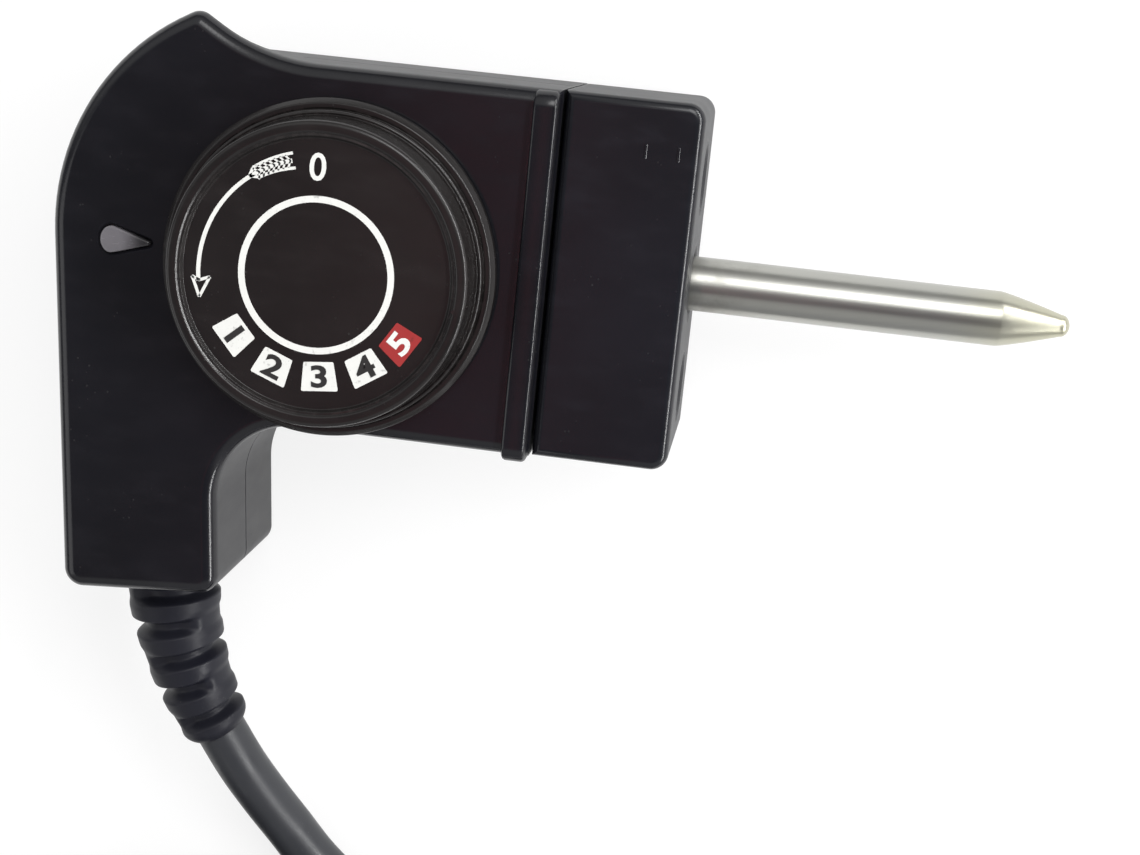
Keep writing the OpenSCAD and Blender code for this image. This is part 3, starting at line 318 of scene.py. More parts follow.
def printed_ink(name, colour, under):
    """Hot-stamped ink: a thin film with pinholes, thinner at rubbed spots"""
    f = Finish(name)
    holes = f.specks(3600, 3, (0.14, 0.05), (700, 3, 2), (0.5, 0.62))
    rubbed = f.noise(1100, 4, 5).rise(0.6, 0.74) * 0.4
    film = f.mix(f.noise(500, 3, 3), scaled(colour, 0.86), colour)
    base = f.mix(holes.most(rubbed), film, under)
    return f.done(Base_Color=base, Roughness=f.noise(900, 3, 4) * 0.2 + 0.4,
                  Normal=f.bump(f.noise(2600, 3, 6), 0.35, 0.00003))


def drawn_tube(name, colour, roughness, warm):
    """Drawn stainless tube: fine lines along X, handling marks, straw heat tint at the tip, darker
    and browner patches next to the nose
    """
    f = Finish(name)
    lines = f.noise(90, 4, 1, (1, 60, 60), 0.65)
    scuffs = f.noise(260, 5, 2, (1, 5, 5), 0.7).rise(0.6, 0.72)
    heat = f.axis("X").rise(0.074, 0.0905) * (f.noise(180, 3, 3) * 0.6 + 0.5)
    # darker, browner and rougher patches on the stretch next to the nose
    dark_near_nose = f.axis("X").rise(0.056, 0.0445) * f.noise(300, 4, 4).rise(0.4, 0.7)
    base = f.mix(lines * 0.4, colour, scaled(colour, 0.78))
    base = f.mix(heat * 0.75, base, warm)
    base = f.mix(dark_near_nose * 0.35, base, (0.16, 0.14, 0.12))
    rough = lines * 0.14 + (roughness - 0.06) + scuffs * 0.14 + dark_near_nose * 0.12
    return f.done(Base_Color=base, Metallic=1.0, Roughness=rough,
                  Normal=f.bump(lines, 0.3, 0.00002))


def plain_metal(name, colour, roughness, stretch=(1, 1, 1), tarnish=(0.2, 0.17, 0.13),
                amount=0.3):
    """Plated or rolled metal with fine lines and a little tarnish"""
    f = Finish(name)
    lines = f.noise(500, 3, 1, stretch, 0.6)
    spots = f.noise(210, 5, 2, None, 0.65).rise(0.52, 0.74)
    base = f.mix(lines * 0.5, colour, scaled(colour, 0.8))
    base = f.mix(spots * amount, base, tarnish)
    return f.done(Base_Color=base, Metallic=1 - spots * amount * 0.5,
                  Roughness=lines * 0.15 + roughness + spots * 0.2,
                  Normal=f.bump(lines, 0.25, 0.00002))


def lead_rubber(name, colour, roughness=0.5, specular=0.55):
    """Extruded rubber sheath: matt bloom, talc in the pores and rubbed, smoother tracks"""
    f = Finish(name)
    bloom = f.noise(120, 4, 1)
    pores = f.noise(2600, 3, 2)
    rubbed = f.noise(90, 3, 3).rise(0.5, 0.66)
    dust = f.specks(1400, 4, (0.2, 0.06), (160, 2, 5), (0.52, 0.7))
    base = f.mix(bloom, scaled(colour, 0.8), scaled(colour, 1.25))
    base = f.mix(dust * 0.3, base, (0.18, 0.18, 0.17))
    normal = f.bump(pores, 0.3, 0.00003)
    normal = f.bump(bloom, 0.3, 0.0002, normal)
    rough = roughness + pores * 0.12 - rubbed * 0.1 + dust * 0.2
    return f.done(Base_Color=base, Roughness=rough, Normal=normal, Specular_IOR_Level=specular)


def fired_ceramic(name, colour):
    """Unglazed ceramic with a few dark specks"""
    f = Finish(name)
    speckle = f.specks(1500, 1, (0.2, 0.06), (300, 2, 2), (0.45, 0.6))
    base = f.mix(f.noise(220, 4, 3), scaled(colour, 0.88), colour)
    base = f.mix(speckle * 0.5, base, (0.3, 0.25, 0.2))
    return f.done(Base_Color=base, Roughness=f.noise(800, 3, 4) * 0.15 + 0.5,
                  Normal=f.bump(f.noise(3000, 3, 5), 0.5, 0.00004))


def core_insulation(name, colour, stripe=None):
    """Coloured core of a lead, with an optional second colour along one side"""
    f = Finish(name)
    base = f.mix(f.noise(260, 3, 1), scaled(colour, 0.85), colour)
    if stripe:
        wave = (f.axis("Z") * 1500 + f.axis("Y") * 900).sine()
        base = f.mix(wave.rise(-0.1, 0.1), base, stripe)
    return f.done(Base_Color=base, Roughness=f.noise(900, 2, 2) * 0.15 + 0.38,
                  Normal=f.bump(f.noise(1800, 2, 3), 0.3, 0.00003))


def smoke_lens(name, colour):
    """Tinted clear pointer over the lamp: cloudy, with painted shade that darkens it towards its
    point, finely scratched
    """
    f = Finish(name)
    cloud = f.noise(380, 3, 1)
    scratches = f.noise(500, 4, 2, (1, 14, 1), 0.7).rise(0.62, 0.7)
    base = f.mix(cloud, scaled(colour, 0.75), scaled(colour, 1.25))
    # painted shade: the colour falls to a sixth of itself towards the lens's point
    base = f.mix(f.axis("X").rise(-0.0272, -0.0238), base, scaled(colour, 0.16))
    return f.done(Base_Color=base, Roughness=cloud * 0.1 + 0.16 + scratches * 0.2,
                  Normal=f.bump(scratches + cloud, 0.2, 0.00003), Transmission_Weight=0.35,
                  IOR=1.49, Coat_Weight=0.3)


def lamp_glass(name):
    """Thin clear glass with a warm haze"""
    f = Finish(name)
    haze = f.noise(300, 3, 1)
    base = f.mix(haze, (0.75, 0.62, 0.52), (0.9, 0.8, 0.72))
    return f.done(Base_Color=base, Roughness=haze * 0.12 + 0.05, Transmission_Weight=0.7,
                  IOR=1.5, Normal=f.bump(haze, 0.1, 0.00002))


# ---------------------------------------------------------------- outlines

def heading(angle):
    """The direction at an angle in radians"""
    return Vector((math.cos(angle), math.sin(angle)))


def rounded(corners, step=FINE):
    """A closed outline through corners, each a place and a radius, counter-clockwise"""
    points = []
    for i, (corner, radius) in enumerate(corners):
        corner = Vector(corner)
        if not radius:
            points.append(corner)
            continue
        before = (Vector(corners[i - 1][0]) - corner).normalized()
        after = (Vector(corners[(i + 1) % len(corners)][0]) - corner).normalized()
        half = math.acos(max(-1, min(1, before.dot(after)))) / 2
        middle = corner + (before + after).normalized() * radius / math.sin(half)
        start = corner + before * radius / math.tan(half) - middle
        turn = (math.pi - 2 * half) * (1 if before.x * after.y - before.y * after.x < 0 else -1)
        first = math.atan2(start.y, start.x)
        steps = max(1, math.ceil(abs(turn) / step))
        points += [middle + radius * heading(first + turn * k / steps) for k in range(steps + 1)]
    return points


def oblong(low, high, radii=(0, 0, 0, 0), step=FINE):
    """A rectangle with rounded corners, from the low corner counter-clockwise"""
    (x0, y0), (x1, y1) = low, high
    return rounded(list(zip(((x0, y0), (x1, y0), (x1, y1), (x0, y1)), radii)), step)


def inset(points, depth):
    """The outline moved inwards by depth; a negative depth moves it outwards"""
    moved = []
    for i, point in enumerate(points):
        a = (point - points[i - 1]).normalized()
        b = (points[(i + 1) % len(points)] - point).normalized()
        m, n = Vector((-a.y, a.x)), Vector((-b.y, b.x))
        moved.append(point + depth * (m + n) / (1 + m.dot(n)))
    return moved


def lift(points, height):
    """The outline at a height"""
    return [Vector((p.x, p.y, height)) for p in points]


def stack(points, *levels):
    """Copies of the outline, each at a pair of inset and height"""
    return [lift(inset(points, depth) if depth else points, height) for depth, height in levels]


def quarter_round(radius, steps=8):
    """Inset and rise at each step of a quarter round"""
    quarter = math.pi / 2
    return [(radius * (1 - math.cos(quarter * k / steps)), radius * math.sin(quarter * k / steps))
            for k in range(1, steps + 1)]


def eased_top(points, radius, top):
    """Rings of a quarter round that ends at the height top"""
    return stack(points, *((depth, top - radius + rise) for depth, rise in quarter_round(radius)))


def eased_foot(points, radius, bottom):
    """Rings of a quarter round that starts at the height bottom"""
    return stack(points, *((depth, bottom + radius - rise)
                           for depth, rise in quarter_round(radius)[::-1]))


def meet(p, u, q, v):
    """Where the line from p along u meets the line from q along v"""
    return p + u * ((q.x - p.x) * v.y - (q.y - p.y) * v.x) / (u.x * v.y - u.y * v.x)


# ---------------------------------------------------------------- meshes

def placed(name, data):
    """An object of the data, in the scene"""
    piece = bpy.data.objects.new(name, data)
    bpy.context.scene.collection.objects.link(piece)
    return piece


def discard(piece):
    """Removes a piece and its mesh"""
    mesh = piece.data
    bpy.data.objects.remove(piece)
    bpy.data.meshes.remove(mesh)


def new_object(name, vertices, faces, closed=True):
    """A mesh object, with the faces of a closed shape turned outwards"""
    mesh = bpy.data.meshes.new(name)
    mesh.from_pydata([tuple(v) for v in vertices], [], faces)
    shaped = bmesh.new()
    shaped.from_mesh(mesh)
    bmesh.ops.remove_doubles(shaped, verts=shaped.verts, dist=1e-7)
    if closed:
        bmesh.ops.recalc_face_normals(shaped, faces=shaped.faces)
    shaped.to_mesh(mesh)
    shaped.free()
    return placed(name, mesh)


def quads(rows, n, ring=False):
    """Faces between rows of n points each; ring joins the last row to the first one"""
    faces = []
    for i in range(rows if ring else rows - 1):
        here, there = i * n, (i + 1) % rows * n
        faces += [[here + k, here + (k + 1) % n, there + (k + 1) % n, there + k] for k in range(n)]
    return faces


def loft(name, rings):
    """A closed solid through rings of equally many points"""
    n = len(rings[0])
    ends = [list(range(n))[::-1], [(len(rings) - 1) * n + k for k in range(n)]]
    return new_object(name, [p for ring in rings for p in ring], ends + quads(len(rings), n))


def lathe(name, profile, sides=64, place=None):
    """A closed profile of (radius, height) turned round the Z axis, then moved by place"""
    n = len(profile)
    points = [Vector((r * math.cos(TAU * s / sides), r * math.sin(TAU * s / sides), z))
              for s in range(sides) for r, z in profile]
    faces = [[a, d, c, b] for a, b, c, d in quads(sides, n, True)
             if profile[a % n][0] or profile[b % n][0]]
    piece = new_object(name, points, faces)
    if place:
        piece.data.transform(place)
    return piece


def turned(name, corners, sides=64, place=None, step=COARSE):
    """A solid turned from corners of (radius, height, rounding)"""
    outline = rounded([((r, z), rounding) for r, z, rounding in corners], step)
    return lathe(name, [(max(0.0, p.x), p.y) for p in outline], sides, place)


def rod(name, radius, start, end, place=None, sides=64):
    """A plain cylinder along Z, moved by place"""
    return lathe(name, [(0, start), (radius, start), (radius, end), (0, end)], sides, place)


def box_between(name, low, high):
    """A box between two corners"""
    shape = oblong(low[:2], high[:2])
    return loft(name, [lift(shape, low[2]), lift(shape, high[2])])


def at(x, y, z=0):
    """A move to a place"""
    return Matrix.Translation((x, y, z))


def along_x(x, y, z):
    """Turns Z into +X at a given place"""
    return at(x, y, z) @ Matrix.Rotation(math.pi / 2, 4, "Y")


def evaluated(piece, layers=True):
    """The mesh of a piece with all that its modifiers do"""
    graph = bpy.context.evaluated_depsgraph_get()
    graph.update()
    return bpy.data.meshes.new_from_object(piece.evaluated_get(graph), depsgraph=graph,
                                           preserve_all_data_layers=layers)


def settle(piece):
    """Applies the modifiers of a piece to its mesh"""
    mesh = evaluated(piece)
    piece.modifiers.clear()
    old, piece.data = piece.data, mesh
    bpy.data.meshes.remove(old)
    mesh.name = piece.name


def combine(piece, others, operation="DIFFERENCE"):
    """Cuts the others out of the piece or joins them to it, and removes them"""
    for other in others:
        modifier = piece.modifiers.new("shape", "BOOLEAN")
        modifier.operation, modifier.solver, modifier.object = operation, "EXACT", other
        settle(piece)
        discard(other)
    return piece


def joined(name, pieces):
    """One object of all the pieces' meshes, with each piece's material kept"""
    whole = bmesh.new()
    materials = []
    for piece in pieces:
        slots = piece.data.materials
        own = [material for material in slots if material]
        materials += [material for material in own if material not in materials]
        before = len(whole.faces)
        whole.from_mesh(piece.data)
        whole.faces.ensure_lookup_table()
        for face in whole.faces[before:]:
            used = slots[min(face.material_index, len(slots) - 1)] or own[0]
            face.material_index = materials.index(used)
        discard(piece)
    mesh = bpy.data.meshes.new(name)
    whole.to_mesh(mesh)
    whole.free()
    for material in materials:
        mesh.materials.append(material)
    return placed(name, mesh)


def smooth(piece, angle=32, weighted=True):
    """Smooth shading with sharp edges above an angle, and flat faces that stay flat"""
    piece.data.shade_smooth()
    piece.data.set_sharp_from_angle(angle=math.radians(angle))
    if weighted:
        modifier = piece.modifiers.new("normals", "WEIGHTED_NORMAL")
        modifier.keep_sharp = True
        settle(piece)
    return piece


def dressed(piece, material):
    """The piece in one material"""
    piece.data.materials.clear()
    piece.data.materials.append(material)
    return piece


def installed(piece, body, slot, *nodes):
    """The piece rides on a body and stands for CAD nodes, which are hidden; slot is not used"""
    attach(piece, body)
    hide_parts(*nodes)


# ---------------------------------------------------------------- geometry nodes

class Recipe(Graph):
    """A Geometry Nodes tree with named inputs, which ends in Realize Instances and Set Material"""
    KINDS = {float: "Float", int: "Int", tuple: "Vector", type(None): "Object"}

    def __init__(self, name, **inputs):
        super().__init__(bpy.data.node_groups.new(name, "GeometryNodeTree"))
        self.new_socket("Geometry", "INPUT", "Geometry")
        self.sockets = {}
        for label, value in inputs.items():
            made = self.new_socket(label, "INPUT", self.KINDS[type(value)])
            if value is not None:
                made.default_value = value
            self.sockets[label] = made.identifier
        self.new_socket("Geometry", "OUTPUT", "Geometry")
        self.entry = self.tree.nodes.new("NodeGroupInput")

    def new_socket(self, label, side, kind):
        """A socket of the whole tree"""
        return self.tree.interface.new_socket(label, in_out=side, socket_type=f"NodeSocket{kind}")

    def input(self, label="Geometry"):
        """What comes in under a name"""
        return Link(self, self.entry.outputs[label])

    def attribute(self, name):
        """A number that the points carry"""
        return self.add("GeometryNodeInputNamedAttribute", {"Name": name}, "Attribute",
                        data_type="FLOAT")

    def copies(self, points, **sockets):
        """The object that is put in as Shape, on each point"""
        shape = self.add("GeometryNodeObjectInfo", {"Object": self.input("Shape")}, "Geometry")
        return self.add("GeometryNodeInstanceOnPoints",
                        {"Points": points, "Instance": shape, **sockets})

    def finish(self, geometry, material):
        """The tree's end, with real geometry in one material"""
        real = self.add("GeometryNodeRealizeInstances", {"Geometry": geometry})
        shown = self.add("GeometryNodeSetMaterial", {"Geometry": real, "Material": material})
        self.end("NodeGroupOutput", shown, "Geometry")
        return self

    def finish_smooth(self, geometry, material):
        """The same end with smooth shading"""
        return self.finish(self.add("GeometryNodeSetShadeSmooth", {"Geometry": geometry}), material)

    def baked(self, name, carrier, **values):
        """The tree's result on the carrier, as a plain mesh object; the carrier goes"""
        modifier = carrier.modifiers.new(name, "NODES")
        modifier.node_group = self.tree
        for label, value in values.items():
            modifier[self.sockets[label]] = value
        mesh = evaluated(carrier)
        carrier.modifiers.clear()
        bpy.data.objects.remove(carrier)
        mesh.name = name
        return placed(name, mesh)


def line_object(name, points):
    """A poly curve through points, as a carrier for a sweep"""
    curve = bpy.data.curves.new(name, "CURVE")
    curve.dimensions = "3D"
    spline = curve.splines.new("POLY")
    spline.points.add(len(points) - 1)
    for point, place in zip(spline.points, points):
        point.co = (*place, 1)
    return placed(name, curve)


def points_object(name, places, **attributes):
    """A mesh of loose points that carry numbers, as a carrier for copies"""
    mesh = bpy.data.meshes.new(name)
    mesh.from_pydata(places, [], [])
    for label, values in attributes.items():
        mesh.attributes.new(label, "FLOAT", "POINT").data.foreach_set("value", values)
    return placed(name, mesh)


def sweep_recipe(material):
    """A round section along a curve"""
    recipe = Recipe("round_sweep", Radius=3.5 * MM, Sides=32)
    section = recipe.add("GeometryNodeCurvePrimitiveCircle",
                         {"Resolution": recipe.input("Sides"), "Radius": recipe.input("Radius")})
    tube = recipe.add("GeometryNodeCurveToMesh", {"Curve": recipe.input(), "Fill Caps": True,
                                                  "Profile Curve": section})
    return recipe.finish_smooth(tube, material)


# ---------------------------------------------------------------- routes of the lead, in metres

GRIP_BACK, GRIP_LEAN = 25.7 * MM, math.radians(4.3)
LEAN_DOWN = Vector((math.sin(GRIP_LEAN), -math.cos(GRIP_LEAN), 0))
LEAN_SIDE = Vector((math.cos(GRIP_LEAN), math.sin(GRIP_LEAN), 0))
OUT_OF_GRIP = Vector((0, 0, 1)).rotation_difference(LEAN_DOWN).to_matrix().to_4x4()
BEND, ROLL = math.radians(28), math.radians(30)     # of the bend protector
LEAD_POINTS = [(-8.7, -80.5, 7.3), (-5.3, -85.5, 5.4), (-1.4, -90.5, 4.3), (4, -95.2, 3.7),
               (11.5, -98.9, 3.6), (20.5, -101, 3.8)]
TAIL_POINTS = [(22, -194.2, 9.4), (12, -193.6, 6.6), (1, -191.4, 4.4), (-9, -186.4, 3.7),
               (-15.6, -179, 4.6), (-18.5, -171, 6.6)]
COIL_X, COIL_Y, COIL_RADIUS, COIL_LIFT = 45 * MM, -148 * MM, 46.6 * MM, 4.3 * MM
COIL_PITCH, COIL_LAYER, COIL_TURNS = 7.6 * MM, 2, 4.5
TURN_POINTS = 48        # points on each turn of the coil
PLUG_AT = (-19 * MM, -115.6 * MM)
PLUG_ENTRY = (-19 * MM, -156.2 * MM, 8 * MM)
PLUG_SLEEVE = 24 * MM


def in_grip(down, height=14 * MM):
    """A point on the grip's centre line, from the height of the dial's axis downwards"""
    place = Vector((-GRIP_BACK, 0, 0)) + down * LEAN_DOWN
    return Vector((place.x, place.y, height))


def protector_point(s, sizes, housing):
    """A point of the bend protector's centre line, with s from 0 to 1"""
    curve = sizes.protector / BEND
    aside = Vector((LEAN_SIDE.x * math.cos(ROLL), LEAN_SIDE.y * math.cos(ROLL), -math.sin(ROLL)))
    start = in_grip(housing.grip_length + 0.2 * MM)
    return start + curve * (math.sin(BEND * s) * LEAN_DOWN + (1 - math.cos(BEND * s)) * aside)


def coil_point(t):
    """A point of the coil after t turns: inwards below, up in half a turn, outwards above"""
    radius = COIL_RADIUS - COIL_PITCH * min(t, COIL_TURNS - t)
    climb = 0 if t < COIL_LAYER else 1
    if 0 <= t - COIL_LAYER <= 0.5:
        climb = (1 - math.cos(TAU * (t - COIL_LAYER))) / 2
    return Vector((COIL_X + radius * math.sin(TAU * t), COIL_Y + radius * math.cos(TAU * t),
                   COIL_LIFT + COIL_PITCH * climb))


def curved(points, between=5):
    """A smooth curve through the points, with points put between them"""
    ends = [2 * points[0] - points[1]] + points + [2 * points[-1] - points[-2]]
    line = []
    for i in range(1, len(ends) - 2):
        a, b, c, e = ends[i - 1:i + 3]
        reach = (c - b).length
        before = (c - a).normalized() * reach
        after = (e - b).normalized() * reach
        for k in range(between):
            t = k / between
            line.append((2 * t ** 3 - 3 * t ** 2 + 1) * b + (t ** 3 - 2 * t ** 2 + t) * before
                        + (3 * t ** 2 - 2 * t ** 3) * c + (t ** 3 - t ** 2) * after)
    return line + [points[-1]]


def lead_route(sizes, housing):
    """The whole free lead, from the bend protector through the coil to the plug"""
    d = sizes.diameter
    start, before = (protector_point(s, sizes, housing) for s in (1, 0.98))
    out = (start - before).normalized()
    first, last = coil_point(0), coil_point(COIL_TURNS)
    straight = Vector((d, 0, 0))
    route = [start, start + d * out] + [Vector(p) * MM for p in LEAD_POINTS]
    route += [first - 2 * straight, first - straight]
    turns = [coil_point(i / TURN_POINTS) for i in range(int(COIL_TURNS * TURN_POINTS) + 1)]
    tail = [last - straight, last - 2 * straight] + [Vector(p) * MM for p in TAIL_POINTS]
    entry = Vector(PLUG_ENTRY)
    tail += [entry - Vector((0, d, 0)), entry]
    return curved(route + turns[:1])[:-1] + turns + curved(turns[-1:] + tail)[1:]


# ---------------------------------------------------------------- outlines of this object

PEAK = Vector((-18.8, 29.7)) * MM
RIDGE_SLOPE, SHOULDER_FALL = math.radians(31), math.radians(28)
SCREW_SPOTS = [(x * MM, y * MM) for x, y in ((-25.7, 15), (14, 19.2), (2, -16.8), (-28.6, -21.5))]
LENS_CORNERS = [((-22.4, 0.4), 0.3), ((-28.7, 2.3), 1.2), ((-29.9, 0.4), 1.9), ((-28.7, -1.5), 1.2)]


def housing_outline(h):
    """Nose end, top edge, thumb ridge, shoulder, grip and inner fillet"""
    side, down = Vector(LEAN_SIDE[:2]), Vector(LEAN_DOWN[:2])
    middle = Vector((-GRIP_BACK, 0))
    left, right = middle - side * h.grip_width / 2, middle + side * h.grip_width / 2
    foot = Vector((PEAK.x + (PEAK.y - h.above) / math.tan(RIDGE_SLOPE), h.above))
    fall = Vector((-math.cos(SHOULDER_FALL), -math.sin(SHOULDER_FALL)))
    shoulder = meet(PEAK, fall, left, down)
    inner = meet(Vector((0, -h.below)), Vector((1, 0)), right, down)
    end = down * h.grip_length
    return rounded([((h.nose_start, -h.below), 0), ((h.nose_start, h.above), 0), (foot, 24 * MM),
                    (PEAK, 2.1 * MM), (shoulder, 30 * MM), (left + end, 2.5 * MM),
                    (right + end, 2.5 * MM), (inner, 10 * MM)])


def clipped(points, top):
    """The outline with its thumb ridge cut level with the top edge, its extra points kept"""
    return [Vector((p.x, min(p.y, top))) for p in points]


def lens_outline(margin=0.0):
    """The pointer's drop shape, wider all round by a margin"""
    corners = [(Vector(place) * MM, radius * MM) for place, radius in LENS_CORNERS]
    return inset(rounded(corners, math.radians(12)), -margin)


# ---------------------------------------------------------------- operators

class Maker(bpy.types.Operator):
    """Base of the operators, which reads the settings"""
    bl_options = {"REGISTER", "UNDO"}

    def execute(self, context):
        self.make(context.scene.thermostat)
        return {"FINISHED"}


class THERMOSTAT_OT_camera(Maker):
    """Sets the camera that sees the object from above, a little to the right"""
    bl_idname = "thermostat.camera"
    bl_label = "Camera"
    LENS = 61.24
    PLACE = (0.0544, 0.03538, 0.26236)
    TURN = ((0.988, -0.1223, 0.0947), (0.0997, 0.9715, 0.2151), (-0.1183, -0.203, 0.972))

    def make(self, settings):
        camera = bpy.data.cameras.new("view_from_above")
        camera.sensor_fit, camera.sensor_width, camera.lens = "HORIZONTAL", 36, self.LENS
        camera.clip_start, camera.clip_end = 0.01, 50
        eye = placed("view_from_above", camera)
        turn = Matrix(self.TURN).to_quaternion().to_matrix().to_4x4()
        eye.matrix_world = Matrix.Translation(self.PLACE) @ turn
        bpy.context.scene.camera = eye


class THERMOSTAT_OT_lead(Maker):
    """Makes the lead with its coil, the ribbed bend protector, the tie and the wall plug"""
    bl_idname = "thermostat.lead"
    bl_label = "Lead and plug"

    def make(self, settings):
        sizes, housing, finish = settings.lead, settings.housing, settings.finish
        rubber = lead_rubber("lead_rubber", tuple(finish.rubber), 0.36)
        route = lead_route(sizes, housing)
        lead = sweep_recipe(rubber).baked("lead", line_object("lead_line", route),
                                          Radius=sizes.diameter / 2, Sides=28)
        protector = self.bend_protector(sizes, housing, tuple(finish.protector))
        tie = self.tie(sizes)
        plug = self.plug(sizes)
        pins = self.pins(sizes)
        installed(lead, "housing", "cord_rubber", "cord_lead", "cord_coil", "cord_tail")
        installed(protector, "housing", "relief_rubber", "strain_relief")
        installed(tie, "housing", "tie_nylon", "coil_tie")
        installed(plug, "housing", "plug_plastic", "plug_body")
        installed(pins, "housing", "plug_metal", "plug_pins")

    def bend_protector(self, sizes, housing, colour):
        """A tapered sleeve with half-open grooves that start on the left and the right in turn"""
        material = lead_rubber("protector_rubber", colour, 0.42, 0.3)
        spine = [protector_point(k / 160, sizes, housing) for k in range(161)]
        before, after = (protector_point(s, sizes, housing) for s in (0.45, 0.55))
        side = Vector((0, 0, 1)).cross(after - before)
        sleeve = self.grooved_sleeve(material).baked(
            "sleeve", line_object("sleeve_line", spine), Start=sizes.protector_start,
            End=sizes.protector_end, Length=sizes.protector, Grooves=sizes.grooves,
            Side=tuple(-side.normalized()))
        inner = in_grip(housing.grip_length - housing.wall - 2.35 * MM)
        wide, narrow, flange, reach = 7 * MM, 5.3 * MM, 2.3 * MM, 6 * MM
        neck = turned("neck", [
            (0, 0, 0), (wide, 0, 0.4 * MM), (wide, flange, 0.3 * MM), (narrow, flange, 0.2 * MM),
            (narrow, reach, 0.2 * MM), (0, reach, 0)], 64, at(*inner) @ OUT_OF_GRIP)
        return smooth(joined("bend_protector", [sleeve, dressed(neck, material)]), 60, False)

    def grooved_sleeve(self, material):
        """The sleeve's rule: radius along the line, and grooves cut into it along its normals"""
        recipe = Recipe("grooved_sleeve", Start=6.6 * MM, End=4.7 * MM, Length=25 * MM, Grooves=5,
                        Depth=1.7 * MM, Half=1.35 * MM, First=0.115, Last=0.86, Side=(1, 0, 0))
        start, end, reach, grooves, depth, half, first, last, side = map(recipe.input,
                                                                         recipe.sockets)
        place = recipe.add("GeometryNodeSplineParameter")
        named = recipe.add("GeometryNodeStoreNamedAttribute",
                           {"Geometry": recipe.input(), "Name": "along", "Value": place},
                           data_type="FLOAT", domain="POINT")
        lip = (place - 0.94).most(0) / 0.06
        radius = (start + (end - start) * place) * (1 - lip ** 2 * 0.16)
        section = recipe.add("GeometryNodeCurvePrimitiveCircle", {"Resolution": 64, "Radius": 1.0})
        tube = recipe.add("GeometryNodeCurveToMesh", {
            "Curve": named, "Profile Curve": section, "Scale": radius, "Fill Caps": True})
        step = (last - first) / (grooves - 1)
        turn = (recipe.attribute("along") - first) / step
        number = turn.nearest().most(0).least(grooves - 1)
        away = (turn - number).size() * step * reach / half
        open_side = 1 - number % 2 * 2
        normal = recipe.add("GeometryNodeInputNormal")
        across = recipe.add("ShaderNodeVectorMath", {0: normal, 1: side}, "Value",
                            operation="DOT_PRODUCT")
        opened = (0 - across * open_side).rise(-0.78, -0.3)
        groove = (1 - away.rise(0.25, 1.0)) * opened
        swell = (1 - away.rise(0.6, 1.6)) * (1 - opened) * 0.16
        outwards = recipe.add("ShaderNodeVectorMath",
                              {0: normal, "Scale": (0 - groove - swell) * depth}, operation="SCALE")
        moved = recipe.add("GeometryNodeSetPosition", {"Geometry": tube, "Offset": outwards})
        return recipe.finish_smooth(moved, material)

    def tie(self, sizes):
        """A flat strap round both layers of the coil, with a buckle"""
        nylon = moulded_plastic("tie_nylon", (0.012, 0.012, 0.013), 0.4, 0.00001, 2600, 0.2)
        pitch, half, play = COIL_PITCH, sizes.diameter / 2, 0.15 * MM
        inner = COIL_RADIUS - COIL_LAYER * pitch - half - pitch * 20 / 360 - play
        outer = COIL_RADIUS + half + play
        top = COIL_LIFT + pitch + half + play
        loop = oblong((inner, 0.5 * MM), (outer, top), (2.4 * MM, 2.4 * MM, 3.2 * MM, 3.2 * MM),
                      math.radians(8))
        section = [(-3.9, 0.0), (-3.9, 0.35), (-3.6, 0.55), (3.6, 0.55), (3.9, 0.35), (3.9, 0.0)]
        points = [Vector((p.x, shift * MM, p.y)) for shift, rise in section
                  for p in inset(loop, -rise * MM)]
        strap = new_object("strap", points, quads(len(section), len(loop), True))
        side = (inner + outer) / 2
        shape = oblong((side - 4 * MM, -4.4 * MM), (side + 4 * MM, 4.4 * MM), (1 * MM,) * 4,
                       math.radians(15))
        buckle = loft("lock", [lift(inset(shape, depth * MM), top + rise * MM) for depth, rise in
                               ((0.3, 0.1), (0, 0.4), (0, 0.9), (0.15, 1.15), (0.5, 1.3))])
        tie = joined("lead_tie", [dressed(strap, nylon), dressed(buckle, nylon)])
        tie.data.transform(at(COIL_X, COIL_Y) @ Matrix.Rotation(math.radians(70), 4, "Z"))
        return smooth(tie, 35)

    def plug(self, sizes):
        """A round plug on its back, with a ribbed grip, a sunk face and a sleeve for the lead"""
        plastic = moulded_plastic("plug_plastic", (0.0105, 0.0105, 0.0115), 0.4, 0.00002, 2600,
                                  0.25)
        (x, y), r, top = PLUG_AT, sizes.plug, sizes.plug_height
        body = turned("body", [
            (0, 0, 0), (r * 0.5, 0, 3 * MM), (r - 1.2 * MM, 0.8 * MM, 1.6 * MM),
            (r, 4 * MM, 2 * MM), (r, top - 3.4 * MM, 1 * MM),
            (r - 0.9 * MM, top - 2.6 * MM, 0.4 * MM), (r - 2.6 * MM, top, 0.8 * MM), (0, top, 0)],
            160, at(x, y))
        combine(body, [self.plug_sleeve()], "UNION")
        clip, half, reach = 17.2 * MM, 3.15 * MM, 12 * MM
        cuts = [box_between("way", (low, y - half, 9 * MM), (high, y + half, top + 5 * MM))
                for low, high in ((x - clip - r, x - clip), (x + clip, x + clip + r))]
        cuts += [rod("way", 2.02 * MM, top - reach, top + OVER,
                     at(x, y + side * sizes.pin_pitch / 2)) for side in (-1, 1)]
        hole, rim, floor = 2.6 * MM, 3.2 * MM, top - 14 * MM
        cuts.append(turned("way", [
            (0, floor, 0), (hole, floor, 0), (hole, top - 0.5 * MM, 0), (rim, top + 0.1 * MM, 0),
            (rim, top + OVER, 0), (0, top + OVER, 0)], 64, at(x + 10.8 * MM, y)))
        dressed(combine(body, cuts), plastic)
        section = oblong((-0.2 * MM, -0.5 * MM), (0.35 * MM, 0.5 * MM),
                         (0.15 * MM, 0.3 * MM, 0.3 * MM, 0.15 * MM), math.radians(30))
